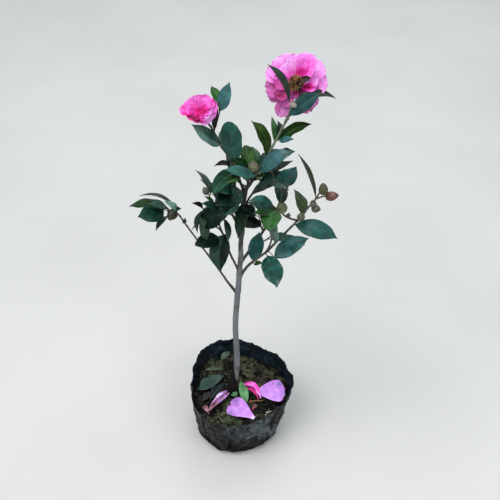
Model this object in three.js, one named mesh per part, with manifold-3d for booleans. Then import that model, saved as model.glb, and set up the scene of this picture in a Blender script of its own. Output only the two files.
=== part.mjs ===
// A young camellia shrub growing in a soft black grow bag.
// Millimetres, +Z up. The origin is the middle of the bag's flat underside and
// the plant's wider, fuller face looks along -Y.
//
// The bag stands on its underside. Inside it is the root ball, on which the
// trunk stands with a flat cut. The trunk forks once into two leaders, each
// with a flower at its tip, and side boughs carry the masses of foliage.

import * as THREE from 'three';
import Module from 'manifold-3d';
import { mergeVertices } from 'three/addons/utils/BufferGeometryUtils.js';

const wasm = await Module();
wasm.setup();

// ---------------------------------------------------------------- main sizes
const GAP = 0.35;            // clear space kept between touching pieces

const BAG_BASE_R = 71;       // radius just above the flat underside
const BAG_RIM_R = 86;        // mean outer radius at the rim
const RIM_LOBE = 0.07;       // the mouth is a rounded triangle, by this share
const RIM_LEAN = 0.027;      // and sags outwards at the back
const BAG_WALL = 2.0;        // film, folded double
const RIM_MEAN = 101;        // mean height of the rim
const RIM_RISE = 12.5;       // the rim stands this much higher at the back
const RIM_RIPPLE = 1.6;      // uneven edge of the film
const BAG_SIDES = 40;

const SOIL_TOP = 84;         // height of the soil at the trunk
const SOIL_EDGE_DROP = 3;    // soil settles towards the wall

const STEM_X = 8;            // the stem's line stands this far from the bag's middle
const FORK_HEIGHT = 497;     // where the trunk forks
const TRUNK_R = 4.4;         // half way up the clear stem
const FLARE_R = 9.6;         // root flare, at the flat cut
const LIMB_SIDES = 8;
const FULLNESS = 1.12;       // swells every mass of foliage about its middle

// ------------------------------------------------------------------- helpers
// A repeatable random number maker, so that every lump keeps its shape.
function seeded(seed) {
  let s = seed >>> 0;
  return () => {
    s = (s + 0x6d2b79f5) >>> 0;
    let t = s;
    t = Math.imul(t ^ (t >>> 15), t | 1);
    t ^= t + Math.imul(t ^ (t >>> 7), t | 61);
    return ((t ^ (t >>> 14)) >>> 0) / 4294967296;
  };
}

// Only positions, with shared corners merged.
function clean(geometry) {
  const g = geometry.clone();
  for (const name of Object.keys(g.attributes)) {
    if (name !== 'position') g.deleteAttribute(name);
  }
  return mergeVertices(g, 1e-4);
}

function toSolid(geometry) {
  const g = clean(geometry);
  return new wasm.Manifold(new wasm.Mesh({
    numProp: 3,
    vertProperties: new Float32Array(g.attributes.position.array),
    triVerts: new Uint32Array(g.index.array),
  }));
}

function toGeometry(solid) {
  const m = solid.getMesh();
  const g = new THREE.BufferGeometry();
  g.setAttribute('position', new THREE.BufferAttribute(new Float32Array(m.vertProperties), 3));
  g.setIndex(new THREE.BufferAttribute(new Uint32Array(m.triVerts), 1));
  g.computeVertexNormals();
  return g;
}

// The piece of a cut solid that lies nearest a point, or the largest piece.
function keepPart(solid, near) {
  let best = null;
  let score = Infinity;
  for (const piece of solid.decompose()) {
    let s = -piece.volume();
    if (near) {
      const b = piece.boundingBox();
      const q = near.clone().clamp(new THREE.Vector3(...b.min), new THREE.Vector3(...b.max));
      s = q.distanceTo(near) - 1e-4 * piece.volume();
    }
    if (s < score) { score = s; best = piece; }
  }
  return best;
}

const v3 = (p) => new THREE.Vector3(p[0], p[1], p[2]);

// Places on the plant are measured from its stem's line.
const place = (p) => new THREE.Vector3(p[0] + STEM_X, p[1], p[2]);

// A tapering limb. Its line runs from one end to the other, bowed sideways in
// the middle by `bow`; stations lists further bends as [share, x, y, z].
// `grow` makes a slightly larger copy, used to cut room round the limb.
function limbSolid(limb, grow = 0) {
  const { from, to, bow = [0, 0, 0], bends = [], r0, r1, steps = 10, flare = 0 } = limb;
  const a = place(from);
  const b = place(to);
  const along = b.clone().sub(a).normalize();
  const count = 12;
  const line = [];
  for (let i = 0; i <= count; i += 1) {
    const t = i / count;
    const p = a.clone().lerp(b, t);
    p.addScaledVector(v3(bow), Math.sin(Math.PI * t));
    for (const [at, x, y, z] of bends) {
      p.addScaledVector(v3([x, y, z]), Math.exp(-(((t - at) / 0.13) ** 2)));
    }
    line.push(p);
  }
  if (grow) {
    if (!limb.flatFoot) line[0].addScaledVector(along, -grow);
    line[count].addScaledVector(along, grow);
  }
  const curve = new THREE.CatmullRomCurve3(line, false, 'centripetal');
  const ring = new THREE.Shape();
  for (let i = 0; i < LIMB_SIDES; i += 1) {
    const w = (2 * Math.PI * i) / LIMB_SIDES;
    if (i === 0) ring.moveTo(Math.cos(w), Math.sin(w));
    else ring.lineTo(Math.cos(w), Math.sin(w));
  }
  ring.closePath();
  const g = new THREE.ExtrudeGeometry(ring, { steps, bevelEnabled: false, extrudePath: curve });
  const stations = curve.getSpacedPoints(steps);
  const pos = g.attributes.position;
  const p = new THREE.Vector3();
  for (let i = 0; i < pos.count; i += 1) {
    p.fromBufferAttribute(pos, i);
    let k = 0;
    let near = Infinity;
    stations.forEach((s, j) => {
      const d = s.distanceTo(p);
      if (d < near) { near = d; k = j; }
    });
    const t = k / steps;
    const r = r0 + (r1 - r0) * t + flare * Math.exp(-t * 28) + grow;
    p.sub(stations[k]).multiplyScalar(r).add(stations[k]);
    pos.setXYZ(i, p.x, p.y, p.z);
  }
  return toSolid(g);
}

// One uneven mass of leaves: an ellipsoid with seeded lumps, drawn out into
// rounded points where its longest sprays reach. Each reach is a tip measured
// from the middle of the mass.
function massSolid(mass) {
  const { at, size, reaches = [], seed, detail = 3, lump = 0.1 } = mass;
  const rand = seeded(seed);
  const waves = [];
  for (let i = 0; i < 6; i += 1) {
    const k = new THREE.Vector3(rand() - 0.5, rand() - 0.5, rand() - 0.5).normalize();
    waves.push([k.multiplyScalar(2.2 + 2.6 * rand()), rand() * 6.283]);
  }
  const g = clean(new THREE.IcosahedronGeometry(1, detail));
  const pos = g.attributes.position;
  const d = new THREE.Vector3();
  for (let i = 0; i < pos.count; i += 1) {
    d.fromBufferAttribute(pos, i).normalize();
    let swell = 1;
    for (const [k, phase] of waves) swell += (lump / 2.2) * Math.sin(k.dot(d) + phase);
    const p = new THREE.Vector3(d.x * size[0], d.y * size[1], d.z * size[2])
      .multiplyScalar(swell * FULLNESS);
    for (const tip of reaches) {
      const t = v3(tip);
      const u = t.clone().normalize();
      const w = Math.exp(-((d.angleTo(u) / 0.44) ** 2));
      p.lerp(t, w * 0.97);
    }
    p.add(place(at));
    pos.setXYZ(i, p.x, p.y, p.z);
  }
  return toSolid(g);
}

// The same mass a little larger all round, for cutting its neighbours clear.
function swollen(solid, at) {
  const k = 1.018;
  const c = place(at);
  return solid.translate([-c.x, -c.y, -c.z]).scale([k, k, k]).translate([c.x, c.y, c.z]);
}

// ---------------------------------------------------------------- the bag
// Height of the film's edge round the bag. Angle 0 is +X and 90 degrees is +Y.
function rimHeight(w) {
  return RIM_MEAN + RIM_RISE * Math.sin(w)
    + RIM_RIPPLE * (Math.sin(3 * w + 0.8) + 0.7 * Math.sin(7 * w + 2.1));
}

// How far the mouth's three lobes and its lean push the wall out, growing from
// nothing at the underside to the full amount at the rim.
function wallPush(w, share) {
  return 1 + share * (RIM_LOBE * Math.cos(3 * w) + RIM_LEAN * Math.sin(w));
}

// Share of the way from underside to rim, and the wall's outer radius there.
const WALL_PROFILE = [
  [0.04, BAG_BASE_R - 1], [0.14, BAG_BASE_R + 3.5], [0.40, BAG_BASE_R + 7.5],
  [0.72, BAG_BASE_R + 11.5], [1.0, BAG_RIM_R],
];

// A turned profile, stood upright, with each point moved to its own height and
// pushed out with the wall. `level` gives [height, share] at a point.
function turnedShape(profile, level) {
  const g = clean(new THREE.LatheGeometry(profile.map(([r, h]) => new THREE.Vector2(r, h)), BAG_SIDES));
  const pos = g.attributes.position;
  const p = new THREE.Vector3();
  for (let i = 0; i < pos.count; i += 1) {
    p.fromBufferAttribute(pos, i);
    const w = Math.atan2(-p.z, p.x);
    const [height, share] = level(w, p.y);
    const push = wallPush(w, share);
    pos.setXYZ(i, p.x * push, -p.z * push, height);
  }
  return toSolid(clean(g));
}

function bagSolid() {
  const outer = WALL_PROFILE.map(([s, r]) => [r, s]);
  const inner = WALL_PROFILE.map(([s, r]) => [r - BAG_WALL, s]).reverse();
  inner[inner.length - 1][1] = 0.07;
  const profile = [[0, 0], [BAG_BASE_R * 0.92, 0], ...outer, ...inner,
    [BAG_BASE_R * 0.88, 0.02], [0, 0.02]];
  return turnedShape(profile, (w, s) => [s * rimHeight(w), s]);
}

// Root ball: fills the bag up to a settled, slightly uneven surface.
function soilSolid() {
  const room = (s) => {
    for (let i = 1; i < WALL_PROFILE.length; i += 1) {
      const [s0, r0] = WALL_PROFILE[i - 1];
      const [s1, r1] = WALL_PROFILE[i];
      if (s <= s1) return r0 + ((r1 - r0) * (s - s0)) / (s1 - s0) - BAG_WALL - 1.1;
    }
    return BAG_RIM_R;
  };
  const profile = [[0, 0.04], [BAG_BASE_R * 0.86, 0.04]];
  for (const s of [0.11, 0.14, 0.4, 0.6]) profile.push([room(s), s]);
  profile.push([room(0.66) - 0.6, 2], [60, 3], [34, 4], [0, 5]);
  return turnedShape(profile, (w, s) => {
    if (s < 1.5) return [s * rimHeight(w) + (s === 0.04 ? GAP : 0), s];
    if (s < 2.5) return [SOIL_TOP - SOIL_EDGE_DROP - 9, 0.66];
    if (s < 3.5) return [SOIL_TOP - SOIL_EDGE_DROP + 1.2 * Math.sin(3 * w + 1) + 0.8 * Math.sin(5 * w), 0.5];
    if (s < 4.5) return [SOIL_TOP - 0.6, 0.3];
    return [SOIL_TOP, 0];
  });
}

// ------------------------------------------------------------- trunk, limbs
const TRUNK = {
  name: 'trunk', from: [-21.4, -10.8, SOIL_TOP - 4], to: [3.5, 0, FORK_HEIGHT],
  bow: [0, -3.6, 0], bends: [[0.17, 5.2, -1.3, 0], [0.45, -1.4, 0, 0]],
  r0: TRUNK_R + 0.6, r1: 3.2, flare: FLARE_R - TRUNK_R - 0.6, steps: 22, flatFoot: true,
};

// The two leaders run on through the foliage, which is cut round them.
const LEADERS = [
  { name: 'leader_right', from: [3.5, 0, FORK_HEIGHT], to: [62, -22, 632], bow: [2, 5, -1],
    bends: [[0.3, 1.5, 0, 0]], r0: 2.9, r1: 1.2, steps: 12 },
  { name: 'leader_left', from: [3.5, 0, FORK_HEIGHT], to: [-45, 22, 588], bow: [3, 3, 1],
    r0: 2.7, r1: 1.6, steps: 9 },
];

// Side boughs leave the trunk and end where they enter a mass of foliage.
const BOUGHS = [
  { name: 'bough_left_low', from: [-8.5, -9, 316], to: [-100, 27, 439], bow: [-1, -1, -3],
    r0: 2.7, r1: 1.5, steps: 12 },
  { name: 'bough_left_mid', from: [-5.5, -6.5, 356], to: [-36, -36, 482], bow: [1.5, 1, 2],
    r0: 2.2, r1: 1.4, steps: 9 },
  { name: 'bough_right_low', from: [-5, -6, 345], to: [96, -40, 511], bow: [3, -2, -5],
    r0: 2.8, r1: 1.5, steps: 12 },
  { name: 'bough_centre_left', from: [-0.5, -4, 436], to: [-19, -20, 500], bow: [-1, -1, 0],
    r0: 1.9, r1: 1.4, steps: 6 },
  { name: 'bough_centre_right', from: [1, -3, 447], to: [34, -22, 509], bow: [-1, -1, 2],
    r0: 2.0, r1: 1.4, steps: 6 },
  { name: 'bough_back_left', from: [0, -3, 424], to: [-42, 62, 464], bow: [0, 0, 4],
    r0: 2.3, r1: 1.5, steps: 8 },
  { name: 'bough_back_right', from: [-3, -6, 372], to: [55, 64, 424], bow: [0, 0, -4],
    r0: 2.5, r1: 1.5, steps: 8 },
  { name: 'bough_back_top', from: [2, -1, 470], to: [14, 54, 504], bow: [0, 0, 2],
    r0: 2.2, r1: 1.4, steps: 7 },
];

// -------------------------------------------------------- masses of foliage
const MASSES = [
  // round the open flower at the very top, with the sprays beside it
  { name: 'blossom_top', at: [67, -2, 656], size: [37, 29, 37], seed: 11, detail: 4, lump: 0.05,
    reaches: [[-34, -24, 40], [30, -30, 5], [54, 28, -33], [2, 4, 43], [-6, -6, -34]] },
  // round the small flower on the left leader
  { name: 'blossom_left', at: [-48, 12, 606], size: [25, 22, 21], seed: 23,
    reaches: [[33, 5, 43], [10, 36, 20], [-19, 1, -17], [-25, -2, 8]] },
  { name: 'foliage_top_right', at: [45, -3, 586], size: [22, 18, 12], seed: 31,
    reaches: [[-32, -6, 24], [-7, 34, 6], [42, -11, 21], [21, -32, 11], [-12, -2, -20]] },
  { name: 'foliage_upper_left', at: [-13, -14, 552], size: [21, 20, 22], seed: 41,
    reaches: [[-5, 34, 40], [-21, -43, -24], [-24, 0, -5], [18, 4, -20]] },
  { name: 'foliage_upper_right', at: [42, -8, 531], size: [28, 24, 15], seed: 53,
    reaches: [[28, 22, 19], [33, 20, -6], [11, -56, -6], [20, -40, 1], [-34, 38, 14]] },
  { name: 'foliage_centre', at: [8, -34, 486], size: [32, 22, 20], seed: 61, detail: 4,
    reaches: [[-42, 8, 26], [40, -26, -9], [-12, -18, -33], [-1, -30, 35], [-24, -14, 16]] },
  { name: 'foliage_left', at: [-44, -42, 474], size: [20, 17, 26], seed: 71, detail: 4,
    reaches: [[-20, -10, 40], [-17, 32, 58], [16, -25, -64], [28, -26, -16], [-18, -16, -25]] },
  { name: 'foliage_left_tip', at: [-118, 16, 446], size: [24, 15, 11], seed: 83,
    reaches: [[-41, 4, 9], [-26, 11, 23], [-24, -18, 0], [-2, -28, -11], [30, 4, 3]] },
  { name: 'foliage_right_low', at: [44, -16, 404], size: [25, 22, 16], seed: 97, detail: 4,
    reaches: [[49, -1, 24], [5, -48, -28], [-18, 44, -3], [9, 20, 48], [-29, 4, -28]] },
  { name: 'foliage_right_tip', at: [93, -40, 492], size: [19, 16, 23], seed: 101, detail: 4,
    reaches: [[36, -22, -29], [-20, 19, 77], [26, 0, 28], [-22, 38, 8], [13, -1, 40]] },
  { name: 'foliage_back_left', at: [-40, 62, 452], size: [29, 26, 30], seed: 113,
    reaches: [[-32, 8, 12], [-8, 38, 14], [0, 10, -42], [-6, 26, 36]] },
  { name: 'foliage_back_right', at: [52, 62, 420], size: [29, 26, 28], seed: 127,
    reaches: [[36, 12, 14], [8, 38, -6], [-8, 6, -44], [14, 24, 36]] },
  { name: 'foliage_back_top', at: [14, 54, 502], size: [24, 20, 20], seed: 131,
    reaches: [[-18, 26, 18], [30, 20, 6], [4, 36, -10]] },
];

// ------------------------------------------------------------- putting it up
const COLOURS = {
  bag: [0x1c1d20, 0.45], soil: [0x3a3024, 0.95], bark: [0x8b8071, 0.85],
  leaf: [0x1f4a3a, 0.35], blossom: [0xe36cc0, 0.6],
};

const group = new THREE.Group();

function add(name, solid, look) {
  const [color, roughness] = COLOURS[look];
  const mesh = new THREE.Mesh(toGeometry(solid),
    new THREE.MeshStandardMaterial({ color, roughness, metalness: 0 }));
  mesh.name = name;
  group.add(mesh);
}

add('grow_bag', bagSolid(), 'bag');
add('root_ball', soilSolid(), 'soil');

// The trunk leans where it leaves the soil, and is cut flat there.
const underSoil = toSolid(new THREE.BoxGeometry(60, 60, 30)
  .translate(TRUNK.from[0] + STEM_X, TRUNK.from[1], SOIL_TOP + GAP - 15));
const trunk = limbSolid(TRUNK).subtract(underSoil);
const trunkRoom = limbSolid(TRUNK, GAP);
add(TRUNK.name, trunk, 'bark');

// Leaders: each is trimmed clear of the trunk and of the one before it.
let wood = trunkRoom;
for (const leader of LEADERS) {
  const piece = keepPart(limbSolid(leader).subtract(wood));
  add(leader.name, piece, 'bark');
  wood = wood.add(limbSolid(leader, GAP));
}

// Masses: cut round the trunk and leaders, and clear of the masses before.
const kept = [];
for (const mass of MASSES) {
  let solid = massSolid(mass).subtract(wood);
  for (const other of kept) solid = solid.subtract(other.room);
  solid = keepPart(solid);
  kept.push({ mass, solid, room: swollen(solid, mass.at) });
}

// Boughs: each leaves the wood it grows from and stops at the first mass.
let foliageRoom = kept[0].room;
for (const { room } of kept.slice(1)) foliageRoom = foliageRoom.add(room);
for (const bough of BOUGHS) {
  const piece = keepPart(limbSolid(bough).subtract(wood).subtract(foliageRoom), place(bough.from));
  add(bough.name, piece, 'bark');
  wood = wood.add(limbSolid(bough, GAP));
}

for (const { mass, solid } of kept) {
  add(mass.name, solid, mass.name.startsWith('blossom') ? 'blossom' : 'leaf');
}

export default group;
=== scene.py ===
import math

import bpy
import numpy as np
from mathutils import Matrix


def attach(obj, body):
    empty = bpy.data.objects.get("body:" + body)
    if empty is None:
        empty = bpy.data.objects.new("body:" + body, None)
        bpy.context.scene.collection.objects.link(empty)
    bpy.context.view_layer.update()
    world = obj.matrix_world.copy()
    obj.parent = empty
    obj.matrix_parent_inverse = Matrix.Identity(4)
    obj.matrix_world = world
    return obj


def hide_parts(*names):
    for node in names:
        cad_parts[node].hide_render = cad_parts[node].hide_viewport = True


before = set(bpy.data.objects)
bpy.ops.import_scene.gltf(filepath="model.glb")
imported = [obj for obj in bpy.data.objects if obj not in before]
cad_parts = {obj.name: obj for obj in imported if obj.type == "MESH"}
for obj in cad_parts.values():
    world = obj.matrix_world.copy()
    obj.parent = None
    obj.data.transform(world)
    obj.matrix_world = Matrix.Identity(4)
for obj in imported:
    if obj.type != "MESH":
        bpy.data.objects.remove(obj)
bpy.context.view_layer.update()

MM = 0.001
rs = np.random.RandomState


# ------------------------------------------------------------------ camera
CAM = np.array([19.0, -852.0, 1106.0])
PITCH = math.radians(40.0)
FOCAL = 769.0  # pixels, on a frame 500 wide
RIGHT = np.array([1.0, 0.0, 0.0])
AHEAD = np.array([0.0, math.cos(PITCH), -math.sin(PITCH)])
ABOVE = np.array([0.0, math.sin(PITCH), math.cos(PITCH)])

cam_data = bpy.data.cameras.new("camera")
cam_data.sensor_fit = "HORIZONTAL"
cam_data.sensor_width = 36.0
cam_data.lens = 36.0 * FOCAL / 500.0
cam_data.clip_start = 0.01
cam_data.clip_end = 50.0
cam = bpy.data.objects.new("camera", cam_data)
cam.location = (CAM * MM).tolist()
cam.rotation_euler = (math.pi / 2 - PITCH, 0.0, 0.0)
bpy.context.scene.collection.objects.link(cam)
bpy.context.scene.camera = cam
bpy.context.scene.view_settings.view_transform = "Standard"


def sight(u, v):
    d = AHEAD * FOCAL + RIGHT * (u - 250.0) + ABOVE * (250.0 - v)
    return d / np.linalg.norm(d)


def at_y(u, v, y):
    """The point at depth y that the camera sees at pixel u, v."""
    d = sight(u, v)
    return CAM + d * ((y - CAM[1]) / d[1])


def at_z(u, v, z):
    d = sight(u, v)
    return CAM + d * ((z - CAM[2]) / d[2])


def seen(P):
    """Pixels of points, and their distance along the view."""
    q = np.asarray(P, float) - CAM
    w = q @ AHEAD
    return 250.0 + FOCAL * (q @ RIGHT) / w, 250.0 - FOCAL * (q @ ABOVE) / w, w


# ------------------------------------------------------------------- maths
def unit(a):
    a = np.asarray(a, float)
    return a / max(np.linalg.norm(a), 1e-12)


def value_noise(P, seed=0):
    """Smooth noise from -1 to 1 at points P, the same on every run."""
    P = np.asarray(P, float)
    i = np.floor(P).astype(np.int64)
    f = P - i
    f = f * f * (3 - 2 * f)
    out = np.zeros(P.shape[:-1])
    for dx in (0, 1):
        for dy in (0, 1):
            for dz in (0, 1):
                h = ((i[..., 0] + dx) * 73856093) ^ ((i[..., 1] + dy) * 19349663)
                h = h ^ ((i[..., 2] + dz) * 83492791) ^ (seed * 2654435761 % 4294967296)
                h = h & 0xFFFFFFFF
                h = ((h ^ (h >> 15)) * 2246822519) & 0xFFFFFFFF
                h = ((h ^ (h >> 13)) * 3266489917) & 0xFFFFFFFF
                h = h ^ (h >> 16)
                w = (f[..., 0] if dx else 1 - f[..., 0])
                w = w * (f[..., 1] if dy else 1 - f[..., 1])
                w = w * (f[..., 2] if dz else 1 - f[..., 2])
                out += w * (h & 0xFFFF) / 65535.0
    return out * 2 - 1


def rough(P, seed=0, octaves=4):
    out, a, s = 0.0, 0.5, 1.0
    for k in range(octaves):
        out = out + a * value_noise(np.asarray(P) * s, seed + 17 * k)
        a *= 0.5
        s *= 2.03
    return out


def creased(P, size, seed):
    """Distance to the nearest of many scattered points: flat places that meet in sharp creases."""
    Q = np.asarray(P, float) / size
    cell0 = np.floor(Q).astype(np.int64)
    best = np.full(Q.shape[:-1], 9.0)
    for dx in (-1, 0, 1):
        for dy in (-1, 0, 1):
            for dz in (-1, 0, 1):
                c = cell0 + np.array([dx, dy, dz])
                h = (c[..., 0] * 73856093) ^ (c[..., 1] * 19349663) ^ (c[..., 2] * 83492791) ^ (seed * 7919)
                spot = []
                for k in range(3):
                    h = ((h & 0xFFFFFFFF) * 2246822519 + 374761393 * (k + 1)) & 0xFFFFFFFF
                    h = h ^ (h >> 15)
                    spot.append((h & 0xFFFF) / 65535.0)
                d = np.linalg.norm(c + np.stack(spot, -1) - Q, axis=-1)
                best = np.minimum(best, d)
    return best


def steps(a, b, x):
    t = np.clip((np.asarray(x, float) - a) / (b - a), 0, 1)
    return t * t * (3 - 2 * t)


def spline(ctrl, step):
    """A smooth line through control points, with any extra columns carried on."""
    C = np.asarray(ctrl, float)
    if len(C) == 2:
        C = np.array([C[0], (C[0] + C[1]) / 2, C[1]])
    P = np.vstack([2 * C[0] - C[1], C, 2 * C[-1] - C[-2]])
    out = []
    for i in range(1, len(P) - 2):
        a, b, c, d = P[i - 1], P[i], P[i + 1], P[i + 2]
        n = max(2, int(np.linalg.norm((c - b)[:3]) / step) + 1)
        t = np.linspace(0, 1, n, endpoint=False)[:, None]
        out.append(0.5 * ((2 * b) + (c - a) * t + (2 * a - 5 * b + 4 * c - d) * t**2
                          + (3 * b - a - 3 * c + d) * t**3))
    out.append(C[-1:])
    Q = np.vstack(out)
    s = np.r_[0, np.cumsum(np.linalg.norm(np.diff(Q[:, :3], axis=0), axis=1))]
    n = max(3, int(s[-1] / step) + 1)
    at = np.linspace(0, s[-1], n)
    return np.stack([np.interp(at, s, Q[:, k]) for k in range(Q.shape[1])], axis=1)


# ------------------------------------------------------------ mesh building
class Soup:
    """Faces of one piece, each with its material number."""

    def __init__(self):
        self.v, self.f, self.m, self.n = [], [], [], 0

    def add(self, verts, faces, mats):
        verts = np.asarray(verts, float).reshape(-1, 3)
        base = self.n
        self.v.append(verts)
        self.f.extend([tuple(int(k) + base for k in q) for q in faces])
        self.m.extend([mats] * len(faces) if np.isscalar(mats) else [int(k) for k in mats])
        self.n += len(verts)


def grid_faces(nu, nv, wrap=False, flip=False):
    out = []
    top = nv if wrap else nv - 1
    for i in range(nu - 1):
        for j in range(top):
            k = (j + 1) % nv
            q = (i * nv + j, i * nv + k, (i + 1) * nv + k, (i + 1) * nv + j)
            out.append(q[::-1] if flip else q)
    return out


def frames_along(pts):
    T = np.gradient(pts, axis=0)
    T /= np.maximum(np.linalg.norm(T, axis=1), 1e-9)[:, None]
    ref = np.array([0.0, 0.0, 1.0]) if abs(T[0][2]) < 0.8 else np.array([1.0, 0.0, 0.0])
    N = np.zeros_like(T)
    N[0] = unit(ref - (ref @ T[0]) * T[0])
    for i in range(1, len(T)):
        N[i] = unit(N[i - 1] - (N[i - 1] @ T[i]) * T[i])
    return T, N, np.cross(T, N)


def tube(soup, pts, rad, sides, mat, relief=None):
    pts = np.asarray(pts, float)
    rad = np.asarray(rad, float) * np.ones(len(pts))
    T, N, B = frames_along(pts)
    w = np.linspace(0, 2 * math.pi, sides, endpoint=False)
    ring = np.cos(w)[None, :, None] * N[:, None] + np.sin(w)[None, :, None] * B[:, None]
    R = rad[:, None] * np.ones(sides)[None]
    P = pts[:, None] + ring * R[..., None]
    if relief is not None:
        P = P + ring * relief(P, w, R)[..., None]
    n = len(pts)
    V = np.vstack([P.reshape(-1, 3), pts[0] - T[0] * rad[0] * 0.15, pts[-1] + T[-1] * rad[-1] * 0.5])
    F = grid_faces(n, sides, wrap=True)
    if callable(mat):
        pick = mat(P, pts, rad)
        M = [int(pick[i, j]) for i in range(n - 1) for j in range(sides)]
        M += [M[0], M[-1]] * sides
    else:
        M = mat
    a, b = n * sides, n * sides + 1
    for j in range(sides):
        k = (j + 1) % sides
        F.append((a, k, j))
        F.append((b, (n - 1) * sides + j, (n - 1) * sides + k))
    soup.add(V, F, M)


def make(name, soup, mats, nodes=(), shade=True):
    me = bpy.data.meshes.new(name)
    V = np.vstack(soup.v) * MM
    me.from_pydata(V.tolist(), [], soup.f)
    for m in mats:
        me.materials.append(m)
    me.polygons.foreach_set("material_index", soup.m)
    me.polygons.foreach_set("use_smooth", [shade] * len(soup.f))
    me.update()
    me.validate()
    me.set_sharp_from_angle(angle=math.radians(65))
    ob = bpy.data.objects.new(name, me)
    bpy.context.scene.collection.objects.link(ob)
    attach(ob, "root")
    if nodes:
        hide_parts(*nodes)
    return ob


# --------------------------------------------------------------- materials
LIGHT = 1.15  # how much stronger than plain daylight the lamps are


def rgb(r, g, b, light=LIGHT):
    """A colour as seen on a screen, 0 to 255, made linear and paler or darker by the lamps' strength."""
    c = np.array([r, g, b]) / 255.0
    c = np.where(c <= 0.04045, c / 12.92, ((c + 0.055) / 1.055) ** 2.4) / light
    return tuple(float(x) for x in c) + (1.0,)


def material(name, low, high, scale=60.0, detail=4.0, roughness=0.5, rough_span=0.08,
             bump=0.0, bump_scale=None, specular=0.5, coat=0.0, coat_rough=0.2, sheen=0.0,
             subsurface=0.0, stretch=(1, 1, 1), third=None, third_scale=12.0, third_at=(0.5, 0.62)):
    """A surface whose colour wanders between two tones, with its own gloss and grain."""
    m = bpy.data.materials.new(name)
    m.use_nodes = True
    nt = m.node_tree
    nodes, links = nt.nodes, nt.links
    b = nodes["Principled BSDF"]
    b.inputs["Specular IOR Level"].default_value = specular
    b.inputs["Coat Weight"].default_value = coat
    b.inputs["Coat Roughness"].default_value = coat_rough
    b.inputs["Sheen Weight"].default_value = sheen
    if subsurface:
        b.inputs["Subsurface Weight"].default_value = subsurface
        b.inputs["Subsurface Scale"].default_value = 0.004
        b.inputs["Subsurface Radius"].default_value = (1.0, 0.5, 0.6)
    tc = nodes.new("ShaderNodeTexCoord")
    mp = nodes.new("ShaderNodeMapping")
    mp.inputs["Scale"].default_value = stretch
    links.new(tc.outputs["Object"], mp.inputs["Vector"])
    nz = nodes.new("ShaderNodeTexNoise")
    nz.inputs["Scale"].default_value = scale
    nz.inputs["Detail"].default_value = detail
    links.new(mp.outputs["Vector"], nz.inputs["Vector"])
    ramp = nodes.new("ShaderNodeValToRGB")
    ramp.color_ramp.elements[0].position = 0.34
    ramp.color_ramp.elements[1].position = 0.68
    ramp.color_ramp.elements[0].color = low
    ramp.color_ramp.elements[1].color = high
    links.new(nz.outputs["Fac"], ramp.inputs["Fac"])
    colour = ramp.outputs["Color"]
    if third is not None:
        nz3 = nodes.new("ShaderNodeTexNoise")
        nz3.inputs["Scale"].default_value = third_scale
        nz3.inputs["Detail"].default_value = 5.0
        links.new(tc.outputs["Object"], nz3.inputs["Vector"])
        r3 = nodes.new("ShaderNodeMapRange")
        r3.inputs["From Min"].default_value = third_at[0]
        r3.inputs["From Max"].default_value = third_at[1]
        links.new(nz3.outputs["Fac"], r3.inputs["Value"])
        mix = nodes.new("ShaderNodeMix")
        mix.data_type = "RGBA"
        links.new(r3.outputs["Result"], mix.inputs["Factor"])
        links.new(colour, mix.inputs["A"])
        mix.inputs["B"].default_value = third
        colour = mix.outputs["Result"]
    links.new(colour, b.inputs["Base Color"])
    rr = nodes.new("ShaderNodeMapRange")
    rr.inputs["To Min"].default_value = max(0.02, roughness - rough_span)
    rr.inputs["To Max"].default_value = roughness + rough_span
    links.new(nz.outputs["Fac"], rr.inputs["Value"])
    links.new(rr.outputs["Result"], b.inputs["Roughness"])
    if bump:
        nb = nodes.new("ShaderNodeTexNoise")
        nb.inputs["Scale"].default_value = bump_scale or scale * 4
        nb.inputs["Detail"].default_value = 6.0
        links.new(mp.outputs["Vector"], nb.inputs["Vector"])
        bp = nodes.new("ShaderNodeBump")
        bp.inputs["Strength"].default_value = bump
        bp.inputs["Distance"].default_value = 0.001
        links.new(nb.outputs["Fac"], bp.inputs["Height"])
        links.new(bp.outputs["Normal"], b.inputs["Normal"])
    return m


def leaf_mat(name, r, g, b, rough=0.37, coat=0.04, spread=0.18, spec=0.36):
    lo = rgb(r * (1 - spread), g * (1 - spread), b * (1 - spread))
    hi = rgb(min(255, r * (1 + spread)), min(255, g * (1 + spread)), min(255, b * (1 + spread)))
    return material(name, lo, hi, scale=85, roughness=rough, rough_span=0.07, bump=0.10,
                    bump_scale=900, specular=spec, coat=coat, coat_rough=0.18)


LEAF_TONES = {  # colour, then gloss where it differs
    "dk": (8, 48, 36), "vd": (2, 22, 13, .5, .13), "tl": (10, 70, 60), "bl": (50, 98, 100),
    "gr": (32, 74, 24), "bg": (40, 86, 26), "yg": (40, 62, 12, .6, .08), "gg": (52, 84, 72),
    "dp": (34, 24, 24, .5, .2), "gn": (8, 46, 2, .55, .10), "ol": (58, 72, 32, .45, .25), "painted_glint": (128, 162, 148),
    "gy": (22, 46, 34), "pg": (84, 140, 84), "pu": (16, 23, 30, .5, .12), "od": (36, 48, 26, .45, .25),
    "dd": (68, 80, 66, .6, .2), "tc": (0, 55, 43, .45, .2), "ta": (2, 58, 58, .5, .18), "gb": (38, 84, 76),
    "bk": (6, 22, 20, .5, .16), "gd": (22, 48, 10, .45, .2), "tn": (4, 72, 64, .42, .26), "tb": (14, 84, 78),
    "bm": (50, 106, 104), "gk": (46, 66, 46, .45, .25), "gm": (34, 54, 38, .45, .25), "gt": (30, 78, 58),
    "lb": (78, 114, 102), "gf": (34, 80, 22), "gv": (36, 84, 26, .6, .08),
    "ym": (32, 58, 4, .6, .08), "go": (52, 82, 34, .6, .08), "gc": (10, 54, 32, .55, .12),
}
LEAF_KINDS = list(LEAF_TONES)
leaf_mats = [leaf_mat("leaf_" + k, *c[:3], **(dict(rough=c[3], spec=c[4], coat=0.0) if len(c) > 3 else {}))
             for k, c in LEAF_TONES.items()]
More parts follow.
